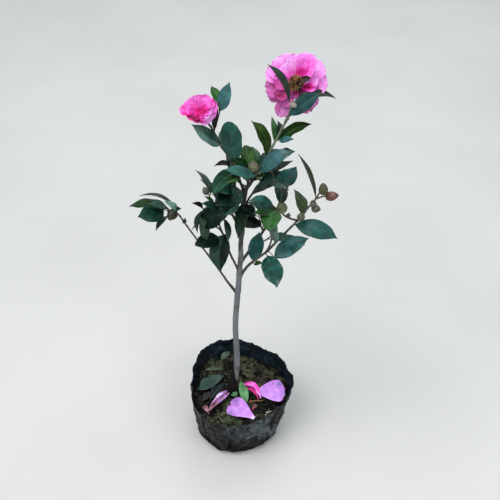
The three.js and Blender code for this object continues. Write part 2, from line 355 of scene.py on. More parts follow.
RIB, UNDER, RIB_DARK = len(leaf_mats), len(leaf_mats) + 1, len(leaf_mats) + 2
leaf_mats.append(leaf_mat("leaf_rib", 54, 88, 62, rough=0.4, coat=0.0))
leaf_mats.append(leaf_mat("leaf_under", 82, 110, 80, rough=0.55, coat=0.0, spec=0.3))
leaf_mats.append(leaf_mat("leaf_rib_dark", 24, 52, 40, rough=0.4, coat=0.0))
DEEP_TONES = [LEAF_KINDS.index(k) for k in ("dk", "vd", "gy", "bk", "dp", "tc", "gd", "gm", "od", "tn", "ta")]
# a leaf isn't even: in blotches and in bands along its veins it takes a darker or a paler tone, painted shade and a
# painted bluish sky reflection
SHADE_AND_SHEEN = {}
for k in ("dk", "vd", "tl", "bl", "gr", "bg", "yg", "gg", "gn", "ol", "gy", "od", "tc", "gb", "gd", "tn", "tb", "bm",
          "gk", "gm", "gt", "gf", "gv", "ym", "go", "gc"):
    c = LEAF_TONES[k]
    gloss = dict(rough=c[3], spec=c[4], coat=0.0) if len(c) > 3 else {}
    SHADE_AND_SHEEN[LEAF_KINDS.index(k)] = (len(leaf_mats), len(leaf_mats) + 1)
    leaf_mats.append(leaf_mat("leaf_%s_deep" % k, c[0] * .80, c[1] * .84, c[2] * .84, **gloss))
    leaf_mats.append(leaf_mat("leaf_%s_sky" % k, c[0] * .92 + 12, c[1] * .93 + 14, c[2] * .93 + 15, **gloss))

# --------------------------------------------------------------- the leaf
OUT_T = [0, .03, .09, .17, .27, .37, .47, .57, .67, .76, .84, .90, .95, .98, 1]
OUT_W = [.05, .17, .43, .69, .885, .98, 1, .955, .845, .68, .47, .27, .13, .06, .02]
BLUNT = [.05, .17, .40, .64, .83, .93, .985, 1, .99, .95, .86, .74, .58, .40, .16]
ACROSS = np.array([-1, -.82, -.55, -.28, -.05, .05, .28, .55, .82, 1.0])
ROWS = 26


def leaf_shape(B, T, up, W, arch=.08, fold=.20, roll=.10, wave=.04, phase=0.0, twist=0.0,
               tip=0.06, sway=0.0, push=None, blunt=0.0):
    """Points of a leaf's upper face, ROWS by 10, and the normals there."""
    B, T = np.asarray(B, float), np.asarray(T, float)
    L = np.linalg.norm(T - B)
    a = (T - B) / L
    n = unit(up - (np.asarray(up) @ a) * a)
    b = np.cross(a, n)
    t = np.linspace(0, 1, ROWS)
    lift = arch * L * np.sin(math.pi * t**0.9) - tip * L * (t**5 - t)
    side = sway * L * np.sin(math.pi * t)
    mid = B + a * (L * t)[:, None] + n * lift[:, None] + b * side[:, None]
    if push is not None:
        mid = mid + np.asarray(push)[None] * np.sin(math.pi * t)[:, None]
    Tn = np.gradient(mid, axis=0)
    Tn /= np.linalg.norm(Tn, axis=1)[:, None]
    tw = twist * (t - 0.2)
    bb = b[None] * np.cos(tw)[:, None] + n[None] * np.sin(tw)[:, None]
    bb = bb - (bb * Tn).sum(1)[:, None] * Tn
    bb /= np.linalg.norm(bb, axis=1)[:, None]
    nn = np.cross(bb, Tn)
    hw = (np.interp(t, OUT_T, OUT_W) * (1 - blunt) + np.interp(t, OUT_T, BLUNT) * blunt) * W / 2
    hw = np.maximum(hw, 0.35 * np.minimum(1, 4 * (1 - t) + 0.35))
    S = np.repeat(ACROSS[None], ROWS, 0)
    rib = np.minimum(0.34, 0.4 * hw) / hw
    S[:, 4] = -rib
    S[:, 5] = rib
    edge = np.where(np.arange(ROWS) % 2 == 0, 1.0, 1 - 0.35 / np.maximum(hw, 1.5))
    X = S * hw[:, None]
    X[:, 0] *= edge
    X[:, -1] *= edge
    A = np.abs(S)
    H = hw[:, None] * (fold * A - roll * A**3)
    H += wave * W * np.sin(2 * math.pi * 1.6 * t + phase)[:, None] * A**2 * np.sign(S + 1e-9) * 0.5
    H += wave * W * np.sin(2 * math.pi * 2.7 * t + 1.7 * phase)[:, None] * A**2 * 0.5
    H += 0.26 * np.sin(2 * math.pi * (7.0 * t[:, None] - 1.1 * A)) * (4 * A * (1 - A)) * (hw[:, None] > 3)
    H[:, 4] -= 0.20
    H[:, 5] -= 0.20
    P = mid[:, None] + bb[:, None] * X[..., None] + nn[:, None] * H[..., None]
    return P, nn


def fit_leaf(B, T, up, W, wpx, most, **opts):
    """The leaf whose width in the camera's view is wpx pixels."""
    for _ in range(3):
        P, nn = leaf_shape(B, T, up, W, **opts)
        x, y, _ = seen(P)
        dx, dy = x[-1, 4] - x[0, 4], y[-1, 4] - y[0, 4]
        d = math.hypot(dx, dy) + 1e-9
        off = ((x - x[:1, 4:5]) * dy - (y - y[:1, 4:5]) * dx) / d
        wide = (off.max(1) - off.min(1)).max()
        W = min(most, W * min(1.6, max(.6, wpx / wide)))
    return leaf_shape(B, T, up, W, **opts)


def put_leaf(soup, P, nn, kind, thick=0.42, other=None, under=None):
    other = kind if other is None else other
    under = UNDER if under is None else under
    rib = RIB_DARK if kind in DEEP_TONES or other in DEEP_TONES else RIB
    mids = (P[:-1, :-1] + P[1:, :-1] + P[:-1, 1:] + P[1:, 1:]) / 4
    size = np.linalg.norm(P[-1, 4] - P[0, 4])
    t_ = np.linspace(0, 1, ROWS - 1)[:, None]
    a_ = ((ACROSS[:-1] + ACROSS[1:]) / 2)[None]
    veins = np.stack(np.broadcast_arrays(7.5 * t_ - 1.6 * np.abs(a_), 3 + np.sign(a_), size), -1)
    shade_and_sheen = rough(mids * 1.7 / size + 3.7, 811, 2) * 1.1 + .8 * value_noise(veins, 812)
    nv = len(ACROSS)
    top = P.reshape(-1, 3)
    low = (P - nn[:, None] * thick)[:, 1:-1].reshape(-1, 3)
    nt = ROWS * nv
    ti = np.arange(nt).reshape(ROWS, nv)
    bi = np.empty_like(ti)
    bi[:, 0], bi[:, -1] = ti[:, 0], ti[:, -1]
    bi[:, 1:-1] = nt + np.arange(ROWS * (nv - 2)).reshape(ROWS, nv - 2)
    F, M = [], []
    for i in range(ROWS - 1):
        for j in range(nv - 1):
            F.append((ti[i, j], ti[i, j + 1], ti[i + 1, j + 1], ti[i + 1, j]))
            half = kind if j < 4 else other
            # where the pattern is strong a face takes the painted shade or the painted sky reflection of its tone
            if half in SHADE_AND_SHEEN and abs(shade_and_sheen[i, j]) > .34:
                half = SHADE_AND_SHEEN[half][int(shade_and_sheen[i, j] > 0)]
            M.append(rib if j == 4 else half)
            q = (bi[i + 1, j], bi[i + 1, j + 1], bi[i, j + 1], bi[i, j])
            F.append(q)
            M.append(RIB if j == 4 else under)
    for i, turn in ((0, False), (ROWS - 1, True)):
        ring = [ti[i, j] for j in range(nv)] + [bi[i, j] for j in range(nv - 2, 0, -1)]
        F.append(tuple(ring if turn else ring[::-1]))
        M.append(kind)
    soup.add(np.vstack([top, low]), F, M)


# ------------------------------------------------- the skeleton of the plant
# Each twig is a run of stations: where the camera sees it, its depth, its radius.
TWIGS = {
    "trunk": [(231.6, 395, -11, 10.0), (232.4, 388, -11, 8.2), (233.6, 381, -11.5, 7.0),
              (235.0, 374, -12, 6.0), (236.4, 368, -12.5, 5.0), (237.1, 361, -13, 4.6),
              (236.4, 346, -12, 4.5),
              (235.5, 330, -11, 4.5), (235.6, 320, -10, 4.45), (236.8, 303, -9, 4.4),
              (238.4, 286, -8, 4.35), (239.7, 269, -7, 4.0), (240.8, 255, -6, 3.75),
              (240.8, 243, -5, 3.6), (242, 231, -4, 3.5), (244, 200, -1, 3.3), (244.3, 190, 0, 3.2)],
    "RF": [(244.3, 191.5, 0, 2.6), (250.7, 183, -1, 2.2), (256.3, 174.7, -2, 2.0),
           (260.5, 170.5, -3, 1.85), (271.7, 148, -6, 1.6), (277.3, 138, -8, 1.5),
           (284.3, 124.2, -9, 1.45), (288.2, 117.6, -14, 1.35), (290.3, 110, -24, 1.2),
           (291.8, 103, -30, 1.0)],
    "FS": [(285.3, 122.5, -9, 1.4), (290, 109, 10, 1.5), (294, 95, 24, 1.9)],
    "LF": [(244.3, 191.5, 0, 2.3), (239.4, 180.3, 5, 1.8), (235, 170, 9, 1.65), (231, 160, 13, 1.5),
           (221, 146, 19, 1.35), (213.5, 131, 22, 1.25), (206.5, 121, 22, 1.5)],
    "G1": [(213.5, 131, 22, 1.2), (217.5, 120, 18, 1.0), (219.5, 112, 15, 0.9)],
    "L1": [(238, 295.5, -8.6, 2.4), (233.4, 289, -8, 2.0), (226.2, 280, -5, 1.75), (219.8, 270.6, -1, 1.6),
           (204.4, 250, 9, 1.45), (195.8, 238, 16, 1.35), (184.8, 223.2, 24, 1.25),
           (177.7, 213.8, 28, 1.2), (169.5, 211.5, 28, 1.0)],
    "L2": [(239.2, 272, -7, 2.0), (236, 265.5, -10, 1.7), (229.4, 251.7, -18, 1.5), (221.7, 231, -28, 1.35),
           (215, 215, -36, 1.2), (211, 203, -40, 1.05), (209.5, 195, -42, 0.9)],
    "L2b": [(221.7, 231, -28, 1.2), (213, 224, -26, 1.1), (203, 217, -22, 1.0)],
    "M1": [(242.5, 226, -3, 1.8), (235, 212, -12, 1.6), (229, 200, -18, 1.4), (226, 190, -22, 1.2)],
    "M2": [(242.8, 220, -3, 1.7), (245.5, 208, -10, 1.5), (249.4, 197.6, -15, 1.35), (257, 190.4, -19, 1.25),
           (267, 186.4, -22, 1.15), (275, 184, -24, 1.0)],
    "R1": [(239.7, 277.5, -7, 2.6), (244.5, 270, -8.5, 2.1), (251, 263, -12, 1.9), (266.4, 251.7, -20, 1.75),
           (280.2, 237.9, -26, 1.6), (297.4, 220.7, -34, 1.45), (308.2, 207.6, -38, 1.3),
           (316, 198.5, -40, 1.1)],
    "R1s": [(297.4, 220.7, -34, 1.4), (288, 217.6, -38, 1.3), (281.5, 213, -41, 1.2), (272, 205, -44, 1.0)],
    "R1t": [(266.4, 251.7, -20, 1.5), (270.6, 243, -30, 1.3), (273.6, 229, -38, 1.0)],
    "C0": [(256.3, 174.7, -2, 1.6), (248, 171, -14, 1.4), (240, 168, -22, 1.2), (234, 164, -26, 1.0)],
    "C1": [(258, 172, -2, 1.4), (262, 168, -14, 1.2), (258, 166, -24, 1.0)],
    "C2": [(262, 168, -3, 1.4), (271, 172, -12, 1.2), (275, 180, -18, 1.0)],
    "D4": [(316, 198.5, -40, 1.1), (320, 192, -40, 1.0)],
    "D5": [(316, 198.5, -40, 1.1), (325, 196, -40, 1.0)],
}
# Boughs on the side that the camera doesn't see, as in the frame.
HIDDEN = {
    "K1": ((8, -3, 424), (-34, 62, 464), (0, 0, 4), 2.3, 1.4),
    "K2": ((5, -6, 372), (63, 64, 424), (0, 0, -4), 2.5, 1.4),
    "K3": ((10, -1, 470), (22, 54, 504), (0, 0, 2), 2.2, 1.3),
}
LINES = {}
for key, stations in TWIGS.items():
    pts = np.array([list(at_y(u, v, y)) + [r] for u, v, y, r in stations])
    LINES[key] = spline(pts, 1.6 if key == "trunk" else 1.3)
for key, (a, b, bow, r0, r1) in HIDDEN.items():
    t = np.linspace(0, 1, 9)[:, None]
    p = np.array(a) * (1 - t) + np.array(b) * t + np.array(bow) * np.sin(math.pi * t)
    LINES[key] = spline(np.hstack([p, r0 + (r1 - r0) * t]), 1.3)


def nearest_on(key, u, v):
    L = LINES[key]
    x, y, _ = seen(L[:, :3])
    k = int(np.argmin((x - u) ** 2 + (y - v) ** 2))
    return L[k, :3]


# ------------------------------------------------------------ leaves in view
# name, twig, base px, tip px, width px, tip nearer (+1) or farther (-1), length,
# tone, base forward of the twig, sideways bow in pixels, then shape words.
SHOOTS = [
    ("A1", "RF", 289.2, 101, 267.5, 64.2, 7.6, +1, 56, "od", -4, -3.4, dict(arch=.02, fold=.30, other="gm")),
    ("A2", "RF", 290, 115.6, 321, 92.6, 16, +1, 46, "ta", -12, 1.2, dict(arch=.02, fold=.1)),
    ("A3", "RF", 304, 99, 335.4, 98.4, 7.4, -1, 50, "od", 17, 4.0, dict(arch=.02, twist=0, blunt=.3)),
    ("B1", "RF", 269.0, 156.5, 251.0, 120.2, 12.4, +1, 56, "yg", 0, -3.0, dict(arch=.03, fold=.12)),
    ("B2", "RF", 275, 143.5, 271.6, 116.2, 6.8, -1, 46, "gr", 0, 0, dict(arch=.04)),
    ("B3", "RF", 277.5, 141, 277.4, 120.4, 7, -1, 40, "vd", 0, -2, dict(arch=.06)),
    ("B4", "RF", 279.3, 140.8, 311.4, 124.2, 12.4, +1, 52, "ym", 0, 2.5, dict(arch=.03)),
    ("B5", "RF", 279, 140.5, 294, 139.2, 7.2, +1, 36, "bl", -2, 0, dict(arch=.03, other="bl")),
    ("C1", "C0", 234.6, 163, 228, 121.6, 20.8, -1, 56, "tc", 0, 0,
     dict(arch=.02, fold=.08, roll=.04, wave=.01, blunt=.8, tip=.02, twist=.05)),
    ("C2", "C0", 249.5, 170, 245.6, 145.6, 14.5, -1, 44, "go", -2, 0,
     dict(arch=.02, fold=.10, roll=.05, blunt=.6)),
    ("C2b", "C1", 253.5, 171, 251.6, 146.6, 11, -1, 44, "gr", 8, -1.8, dict(blunt=.6, other="gd")),
    ("C3", "C0", 248, 168.5, 232.5, 158, 10.5, +1, 34, "gn", -1, 0, {}),
    ("C4", "LF", 231, 166.8, 213.8, 166, 5.8, +1, 38, "dp", 0, -2, {}),
    ("C5", "C1", 255.5, 176.2, 224.4, 169.6, 11.6, +1, 48, "gb", -27, -.4, dict(arch=.03, fold=.12, other="gb")),
    ("C6", "C0", 238.5, 171, 212.6, 195.5, 15.5, +1, 54, "gc", 0, -3.5, dict(arch=.03, other="gc")),
    ("C6b", "C0", 240.5, 176, 223.5, 183, 7.4, +1, 36, "go", -12, 1, dict(fold=.3, other="gd")),
    ("C7", "M1", 238, 196, 215.5, 206, 20, +1, 50, "dk", -4, -2, dict(arch=.04, other="vd")),
    ("C7b", "M1", 231, 184, 238.4, 206.5, 11, +1, 46, "dk", 0, 2, {}),
    ("C7c", "M1", 236, 190, 217, 192, 16, +1, 44, "tl", -2, -2, dict(other="dk")),
    ("C8", "C1", 260, 172.6, 294.7, 151.3, 15.4, +1, 58, "bl", -13, 3.0,
     dict(arch=.02, fold=.12, twist=.0)),
    ("C8b", "RF", 258.5, 171, 284, 149.3, 11, +1, 46, "dk", -10, 3.2, dict(arch=.02, twist=0)),
    ("C9", "C2", 261, 175, 293.6, 160.6, 7.4, +1, 48, "gy", -1, -1, {}),
    ("C10", "C2", 277, 187.5, 296.4, 167, 18, -1, 48, "tn", 0, -1.0, dict(arch=.03, fold=.12)),
    ("C11", "M2", 280.5, 186, 280.5, 203, 12.8, +1, 40, "vd", -2, 0, dict(blunt=.9)),
    ("C12", "M2", 250.5, 194.8, 281.5, 182.6, 9.8, +1, 48, "gk", -2, 2, dict(other="gg")),
    ("C13", "C2", 264, 180, 289.5, 190.5, 7.2, +1, 44, "gy", -3, 0, {}),
    ("C14", "C2", 261, 179, 279, 181.5, 6, +1, 36, "dk", -1, 2, {}),
    ("G1a", "G1", 220.5, 111, 229.9, 81.8, 13.6, +1, 44, "bl", 0, 0, dict(arch=.03, fold=.1)),
    ("G1b", "G1", 219.0, 103.5, 211.2, 86.0, 10.0, -1, 36, "gv", -3, -1, dict(arch=.02, fold=.1, other="gv")),
    ("G2", "LF", 214.4, 129.5, 218.4, 108.3, 6.2, +1, 34, "dp", -4, 0, {}),
    ("G3", "LF", 221.5, 145.5, 191.5, 124.2, 14, +1, 54, "lb", -2, 1.5, dict(arch=.02, fold=.26, other="gg")),
    ("E1", "L2", 210.8, 194.4, 195.2, 170, 6.0, -1, 46, "gy", 0, -2.6, dict(arch=.02, twist=.05)),
    ("E2", "L2", 203, 209.2, 191.3, 203, 5, +1, 32, "dp", 0, -1.2, {}),
    ("E3", "L2", 217, 209, 201, 203.5, 8, +1, 40, "dk", -4, -1, {}),
    ("E3b", "L2", 214.5, 205, 204.3, 196, 4, +1, 30, "gr", -2, 0, {}),
    ("E4", "L2b", 226, 213.6, 197.6, 221.4, 23.5, -1, 50, "vd", -26, 0, dict(arch=.05, fold=.1, blunt=.4)),
    ("E5", "L2b", 202, 210.5, 197.6, 233, 5.6, +1, 40, "vd", -6, -1.2, {}),
    ("E6", "L2b", 200.4, 218.0, 207.6, 240, 11, -1, 44, "gk", -32, -1, dict(other="gk", arch=.02)),
    ("E7", "L2", 219.5, 237.5, 195.2, 245.5, 16.5, +1, 48, "vd", -3, 0, dict(blunt=.5, fold=.1)),
    ("E8", "L2", 225, 234, 221.2, 271, 20.8, +1, 52, "vd", -3, -3.2, dict(arch=.03, fold=.12, other="dk")),
    ("E9", "L2", 224.6, 219, 227.6, 243, 7, +1, 40, "gy", 0, 1, {}),
    ("E10a", "M1", 233, 209, 211, 207.5, 8.4, +1, 46, "gg", -2, 0, dict(other="gy")),
    ("E10b", "M1", 238, 204, 222, 218, 12, +1, 44, "lb", -2, 0, dict(other="gy")),
    ("E11a", "M2", 244, 206, 255, 217.5, 13, +1, 40, "bk", 2, 0, dict(other="vd")),
    ("E11", "M2", 243, 219, 261.6, 226.2, 13.5, +1, 42, "gy", 4, -1.5, dict(blunt=.5, other="bk")),
    ("E12", "M2", 242.4, 203, 238, 238.5, 12.8, +1, 48, "gm", -5, 1.6, dict(arch=.02, other="gm")),
    ("E13", "R1s", 273, 206.4, 246.8, 203.4, 13.6, +1, 42, "dk", -2, -2.6, dict(arch=.02, other="tl")),
    ("E14", "R1s", 274.4, 210.5, 269.2, 230.6, 19, +1, 46, "gf", -7, 0, dict(arch=.02, fold=.1, blunt=.5)),
    ("E14a", "R1s", 279, 212.6, 253.2, 213.4, 9.6, +1, 46, "gd", -3, 1, dict(arch=.02, other="gr")),
    ("E15", "R1t", 275.5, 241, 276.6, 222.6, 9.8, +1, 40, "lb", -14, 0, dict(other="gg")),
    ("E15b", "R1", 274, 240, 289.5, 238.5, 8.5, +1, 34, "lb", -6, 2, {}),
    ("F1", "R1", 253.6, 261.5, 259.4, 231.6, 15.6, -1, 50, "tb", 0, 0, dict(arch=.02, fold=.12)),
    ("F2", "R1", 267.6, 255.6, 277.2, 287.8, 21, +1, 54, "tl", -3, 0, dict(arch=.04, fold=.12, wave=.08)),
    ("F3", "R1", 254, 264, 263, 263, 5, +1, 22, "gr", 0, 0, {}),
    ("F4", "R1", 274.3, 257.8, 309, 238.2, 18.2, +1, 56, "bm", -1, 2.0, dict(arch=.02, fold=.12)),
    ("F5", "R1", 295.2, 225, 338, 238.6, 19, +1, 62, "tn", -2, 1.8, dict(arch=.03, fold=.10)),
    ("F7", "R1", 302.4, 216.4, 293.8, 189.4, 11.4, -1, 44, "ol", 0, -2.6, dict(arch=.02)),
    ("F8", "R1", 316, 197.8, 298, 153.8, 5, +1, 56, "od", -2, -1.4, dict(arch=.02)),
    ("H1", "L1", 177, 209, 139.2, 195.8, 3.8, +1, 54, "od", 0, -4.4, dict(arch=.02)),
    # H1b's pale teal is a painted glint where the twisted base of H1 faces the light
    ("H1b", "L1", 178, 210, 163.8, 201, 6.6, +1, 36, "painted_glint", -4, 0, {}),
    ("H2", "L1", 169, 208.6, 129.4, 206.6, 9.4, +1, 54, "gn", -2, -2.8, dict(arch=.02, other="gd")),
    ("H3", "L1", 164, 209, 137.6, 217, 20, +1, 48, "dk", 0, 1, dict(arch=.03, fold=.12, other="dk")),
    ("H4", "L1", 167, 216, 155.8, 230.8, 6, +1, 44, "vd", 0, 0, {}),
    ("H5", "L1", 166, 207, 148, 203.5, 8, +1, 40, "gg", 0, 0, {}),
    ("H6", "L1", 174, 209.8, 181.5, 208.8, 5, +1, 18, "dk", -3, 0, {}),
    ("C15", "C1", 249.5, 180.5, 269.5, 169.5, 9, +1, 34, "gd", 2, 0, dict(other="dk")),
]
draw = rs(7)
leaves = Soup()
stalks = Soup()
made = []  # every leaf: upper face points, for keeping the next ones clear


def stalk(a, b, up, r0=0.85, r1=0.6):
    d = np.linalg.norm(np.asarray(b) - np.asarray(a))
    mid = (np.asarray(a) + np.asarray(b)) / 2 - np.asarray(up) * d * 0.10
    n = max(4, int(d / 1.5))
    t = np.linspace(0, 1, n)[:, None]
    p = (1 - t) ** 2 * np.asarray(a) + 2 * t * (1 - t) * mid + t**2 * np.asarray(b)
    tube(stalks, p, r0 + (r1 - r0) * t[:, 0], 6, 0)


front = []
for (name, tw, bx, by, tx, ty, wpx, side, L, tone, fwd, bow, words) in SHOOTS:
    q = nearest_on(tw, bx, by)
    B = at_y(bx, by, q[1] + fwd)
    r = sight(tx, ty)
    t0 = (B - CAM) @ r
    off = np.linalg.norm(CAM + r * t0 - B)
    if off > L * 0.97:
        L = off / 0.97
    T = CAM + r * (t0 - side * math.sqrt(max(0.0, (0.97 * L) ** 2 - off * off)))
    a = unit(T - B)
    to_cam = unit(CAM - (B + T) / 2)
    n0 = unit(to_cam - (to_cam @ a) * a)
    per = FOCAL / (((B + T) / 2 - CAM) @ AHEAD)
    W = max(L * .40, wpx / per * 1.04) if wpx > 9 else max(L * .24, wpx / per * 1.10)
    ph = math.acos(min(1.0, wpx / per / W))
    b = np.cross(a, n0)
    n1, n2 = math.cos(ph) * n0 + math.sin(ph) * b, math.cos(ph) * n0 - math.sin(ph) * b
    up = n1 if n1[2] > n2[2] else n2
    d = np.array([tx - bx, ty - by]) / math.hypot(tx - bx, ty - by)
    opts = dict(arch=.06 + draw.uniform(-.02, .03), fold=.16 + draw.uniform(-.05, .08),
                roll=.08 + draw.uniform(-.03, .05), wave=.03 + draw.uniform(0, .03),
                phase=draw.uniform(0, 6.28), twist=draw.uniform(-.25, .25),
                tip=.03 + draw.uniform(0, .04), push=(RIGHT * d[1] + ABOVE * d[0]) * bow / per)
    if wpx <= 9:
        opts.update(wave=.012, twist=opts["twist"] * .4)
    words = dict(words)
    other = words.pop("other", None)
    opts.update(words)
    P, nn = fit_leaf(B, T, up, W, wpx, max(L * .40, wpx / per * 1.25), **opts)
    # a leaf may take a second tone for one half: partly the leaf's own colour, partly painted sheen and painted shade
    # on the two sides of its fold
    pair = [tone, other or tone]
    if other:  # the first tone is the half that is lower in the view
        _, yy, _ = seen(P[ROWS // 2])
        if yy[0] < yy[-1]:
            pair = pair[::-1]
    put_leaf(leaves, P, nn, LEAF_KINDS.index(pair[0]), other=LEAF_KINDS.index(pair[1]))
    made.append(P)
    front.append(name)
    stalk(q, B + a * 1.0, up)

# ------------------------------------------------- where leaves already show
DEPTH = np.full((500, 500), 1e9)


def hide_behind(P):
    """Marks a surface in the depth picture of the camera's view."""
    n, m = P.shape[:2]
    i, j = np.linspace(0, n - 1, n * 3), np.linspace(0, m - 1, m * 5)
    i0, j0 = np.minimum(i.astype(int), n - 2), np.minimum(j.astype(int), m - 2)
    fi, fj = (i - i0)[:, None, None], (j - j0)[None, :, None]
    a, b = P[i0][:, j0], P[i0][:, j0 + 1]
    c, d = P[i0 + 1][:, j0], P[i0 + 1][:, j0 + 1]
    Q = (a * (1 - fj) + b * fj) * (1 - fi) + (c * (1 - fj) + d * fj) * fi
    x, y, w = seen(Q.reshape(-1, 3))
    xi, yi = np.clip(x.astype(int), 0, 499), np.clip(y.astype(int), 0, 499)
    np.minimum.at(DEPTH, (yi, xi), w)


for P in made:
    hide_behind(P)

# ------------------------------------- leaves that grow by the plant's own rule
GOLDEN = math.radians(137.5)
centres = [P[ROWS // 2, 4] for P in made]
sampled = [P[::5, ::3].reshape(-1, 3) for P in made]


def hidden_share(P):
    x, y, w = seen(P[::2, ::1].reshape(-1, 3))
    xi, yi = np.clip(x.astype(int), 0, 499), np.clip(y.astype(int), 0, 499)
    return (DEPTH[yi, xi] < w - 1.5).mean()


def is_clear(P, room=9.0):
    c = P[ROWS // 2, 4]
    if min(np.linalg.norm(c - k) for k in centres) < room:
        return False
    S = P[::5, ::3].reshape(-1, 3)
    for k, Q in zip(centres, sampled):
        if np.linalg.norm(c - k) < 70:
            d = np.linalg.norm(S[:, None] - Q[None], axis=2).min()
            if d < 2.2:
                return False
    return True


def grow(line, rng, first=0.25, gap=13.0, need=0.86, out=None, tones=("dk", "tl", "gr", "vd", "dk"),
         most=99):
    """Leaves set round a twig by the golden angle, kept where they don't spoil the view."""
    pts = line[:, :3]
    s = np.r_[0, np.cumsum(np.linalg.norm(np.diff(pts, axis=0), axis=1))]
    T, N, Bn = frames_along(pts)
    count = 0
    turn = rng.uniform(0, 6.28)
    where = s[-1] * first
    while where <= s[-1] + 0.1 and count < most:
        k = int(np.argmin(np.abs(s - where)))
        done = False
        for attempt in range(14):
            w = turn + GOLDEN * count + rng.uniform(-.35, .35) + attempt * 0.9
            lean = math.radians(rng.uniform(42, 68)) * (0.55 if where > s[-1] - 4 else 1.0)
            rad = N[k] * math.cos(w) + Bn[k] * math.sin(w)
            d = unit(T[k] * math.cos(lean) + rad * math.sin(lean) + np.array([0, 0, 0.10]))
            if out is not None:
                d = unit(d + 0.5 * unit(out))
            L = rng.uniform(44, 58)
            B = pts[k] + d * rng.uniform(6, 9)
            Tp = B + d * L + np.array([0, 0, -rng.uniform(.05, .32) * L])
            up = unit(np.array([0, 0, 1.0]) + 0.5 * T[k] + rng.uniform(-.25, .25, 3))
            W = L * rng.uniform(.40, .47)
            opts = dict(arch=rng.uniform(.05, .12), fold=rng.uniform(.12, .28), roll=rng.uniform(.06, .14),
                        wave=rng.uniform(.03, .07), phase=rng.uniform(0, 6.28),
                        twist=rng.uniform(-.4, .4), tip=rng.uniform(.04, .10))
            P, nn = leaf_shape(B, Tp, up, W, **opts)
            if P[..., 1].max() > 106 or hidden_share(P) < need or not is_clear(P):
                continue
            tone = tones[rng.randint(len(tones))]
            put_leaf(leaves, P, nn, LEAF_KINDS.index(tone))
            stalk(pts[k], B + d, up)
            made.append(P)
            centres.append(P[ROWS // 2, 4])
            sampled.append(P[::5, ::3].reshape(-1, 3))
            done = True
            break
        where += gap * (1.0 if done else 0.6)
        count += 1


side_twigs = []


def branch(line, rng, at, azimuth, rise, length, r0=1.4, r1=0.9):
    """A side twig that leaves a bough at a share of its length."""
    k = int(at * (len(line) - 1))
    a = line[k, :3]
    d = np.array([math.cos(azimuth) * math.cos(rise), math.sin(azimuth) * math.cos(rise), math.sin(rise)])
    b = a + d * length
    mid = (a + b) / 2 + np.array([0, 0, -0.08 * length]) + rng.uniform(-1.5, 1.5, 3)
    ctrl = np.array([list(a) + [r0], list(mid) + [(r0 + r1) / 2], list(b) + [r1]])
    L = spline(ctrl, 1.3)
    side_twigs.append(L)
    return L


deg = math.radians
g = rs(31)
for key, plan in {
    "K1": [(.35, deg(150), deg(20), 38), (.62, deg(75), deg(5), 36), (.8, deg(170), deg(38), 34)],
    "K2": [(.30, deg(20), deg(25), 38), (.55, deg(100), deg(12), 40), (.8, deg(55), deg(30), 28)],
    "K3": [(.45, deg(150), deg(25), 30), (.7, deg(40), deg(30), 32)],
}.items():
    subs = [branch(LINES[key], g, *p) for p in plan]
    grow(LINES[key], g, first=.35, gap=12, need=.90)
    for sline in subs:
        grow(sline, g, first=.30, gap=10, need=.90)
for key, first in (("M1", .3), ("M2", .3), ("L2", .45), ("R1", .35), ("LF", .2), ("RF", .12), ("L1", .78),
                   ("C0", .4), ("C2", .4), ("L2b", .3), ("R1s", .2), ("R1t", .2)):
    grow(LINES[key], g, first=first, gap=11, need=0.96)

print("LEAVES", len(made))

# ------------------------------------------------------------- wood and bark
bark = material("bark", rgb(104, 105, 108), rgb(136, 136, 138), scale=48, detail=7, roughness=0.85,
                bump=0.6, bump_scale=420, specular=0.15, stretch=(1, 1, .28),
                third=rgb(84, 86, 76), third_scale=42, third_at=(0.54, 0.68))
bark_wet_and_shade = material("bark_foot", rgb(14, 11, 10), rgb(36, 29, 27), scale=70, detail=7, roughness=0.7,
                    bump=0.9, bump_scale=380, specular=0.12, stretch=(1, 1, .3),
                    third=rgb(54, 50, 46), third_scale=60, third_at=(0.58, 0.72))
bark_dark_and_shade = material("bark_dark_and_shade", rgb(66, 66, 60), rgb(108, 106, 100), scale=80, detail=6, roughness=0.78,
                      bump=0.5, bump_scale=520, specular=0.2, stretch=(1, 1, .4),
                      third=rgb(58, 52, 44), third_scale=50, third_at=(0.50, 0.66))
shoot_bark = material("shoot_bark", rgb(84, 92, 70), rgb(124, 130, 108), scale=80, detail=6, roughness=0.7,
                      bump=0.4, bump_scale=520, specular=0.25, stretch=(1, 1, .4))
bark_brown = material("bark_brown", rgb(52, 48, 43), rgb(86, 82, 76), scale=80, detail=6, roughness=0.8,
                      bump=0.5, bump_scale=520, specular=0.2, stretch=(1, 1, .4))
twig_bark = material("twig_bark", rgb(58, 56, 40), rgb(98, 90, 70), scale=120, roughness=0.7,
                     bump=0.3, bump_scale=600, specular=0.3, stretch=(1, 1, .5))
stalk_mat = material("leaf_stalk", rgb(56, 76, 38), rgb(92, 96, 60), scale=90, roughness=0.5,
                     specular=0.4, bump=0.1, bump_scale=500)


def bark_relief(seed, deep=0.22, nodes=()):
    def relief(P, w, R):
        h = rough(P * np.array([.30, .30, .07]), seed, 4) * deep * 1.6
        h += rough(P * np.array([1.1, 1.1, .35]), seed + 5, 3) * deep * 0.8
        h += np.maximum(0, value_noise(P * np.array([.55, .55, .55]), seed + 9) - .55) * deep * 3
        for z, amp, span in nodes:
            h += amp * np.exp(-((P[..., 2] - z) / span) ** 2)
        return h
    return relief


wood = Soup()
trunk = LINES["trunk"].copy()


def trunk_relief(P, w, R):
    h = bark_relief(3, .26, [(320, .5, 6), (352, .4, 5), (204, .25, 5), (262, .25, 4), (165, .25, 5),
                             (428, .4, 6), (495, .7, 8)])(P, w, R)
    low = np.exp(-np.maximum(P[..., 2] - 92, 0) / 15.0)
    ridge = np.sin(5 * w + .7)[None] + .6 * np.sin(9 * w + 2)[None] + .5 * value_noise(P * .35, 8)
    return h + low * (1.0 * ridge + .9 * rough(P * .5, 13, 3)) * R * .13


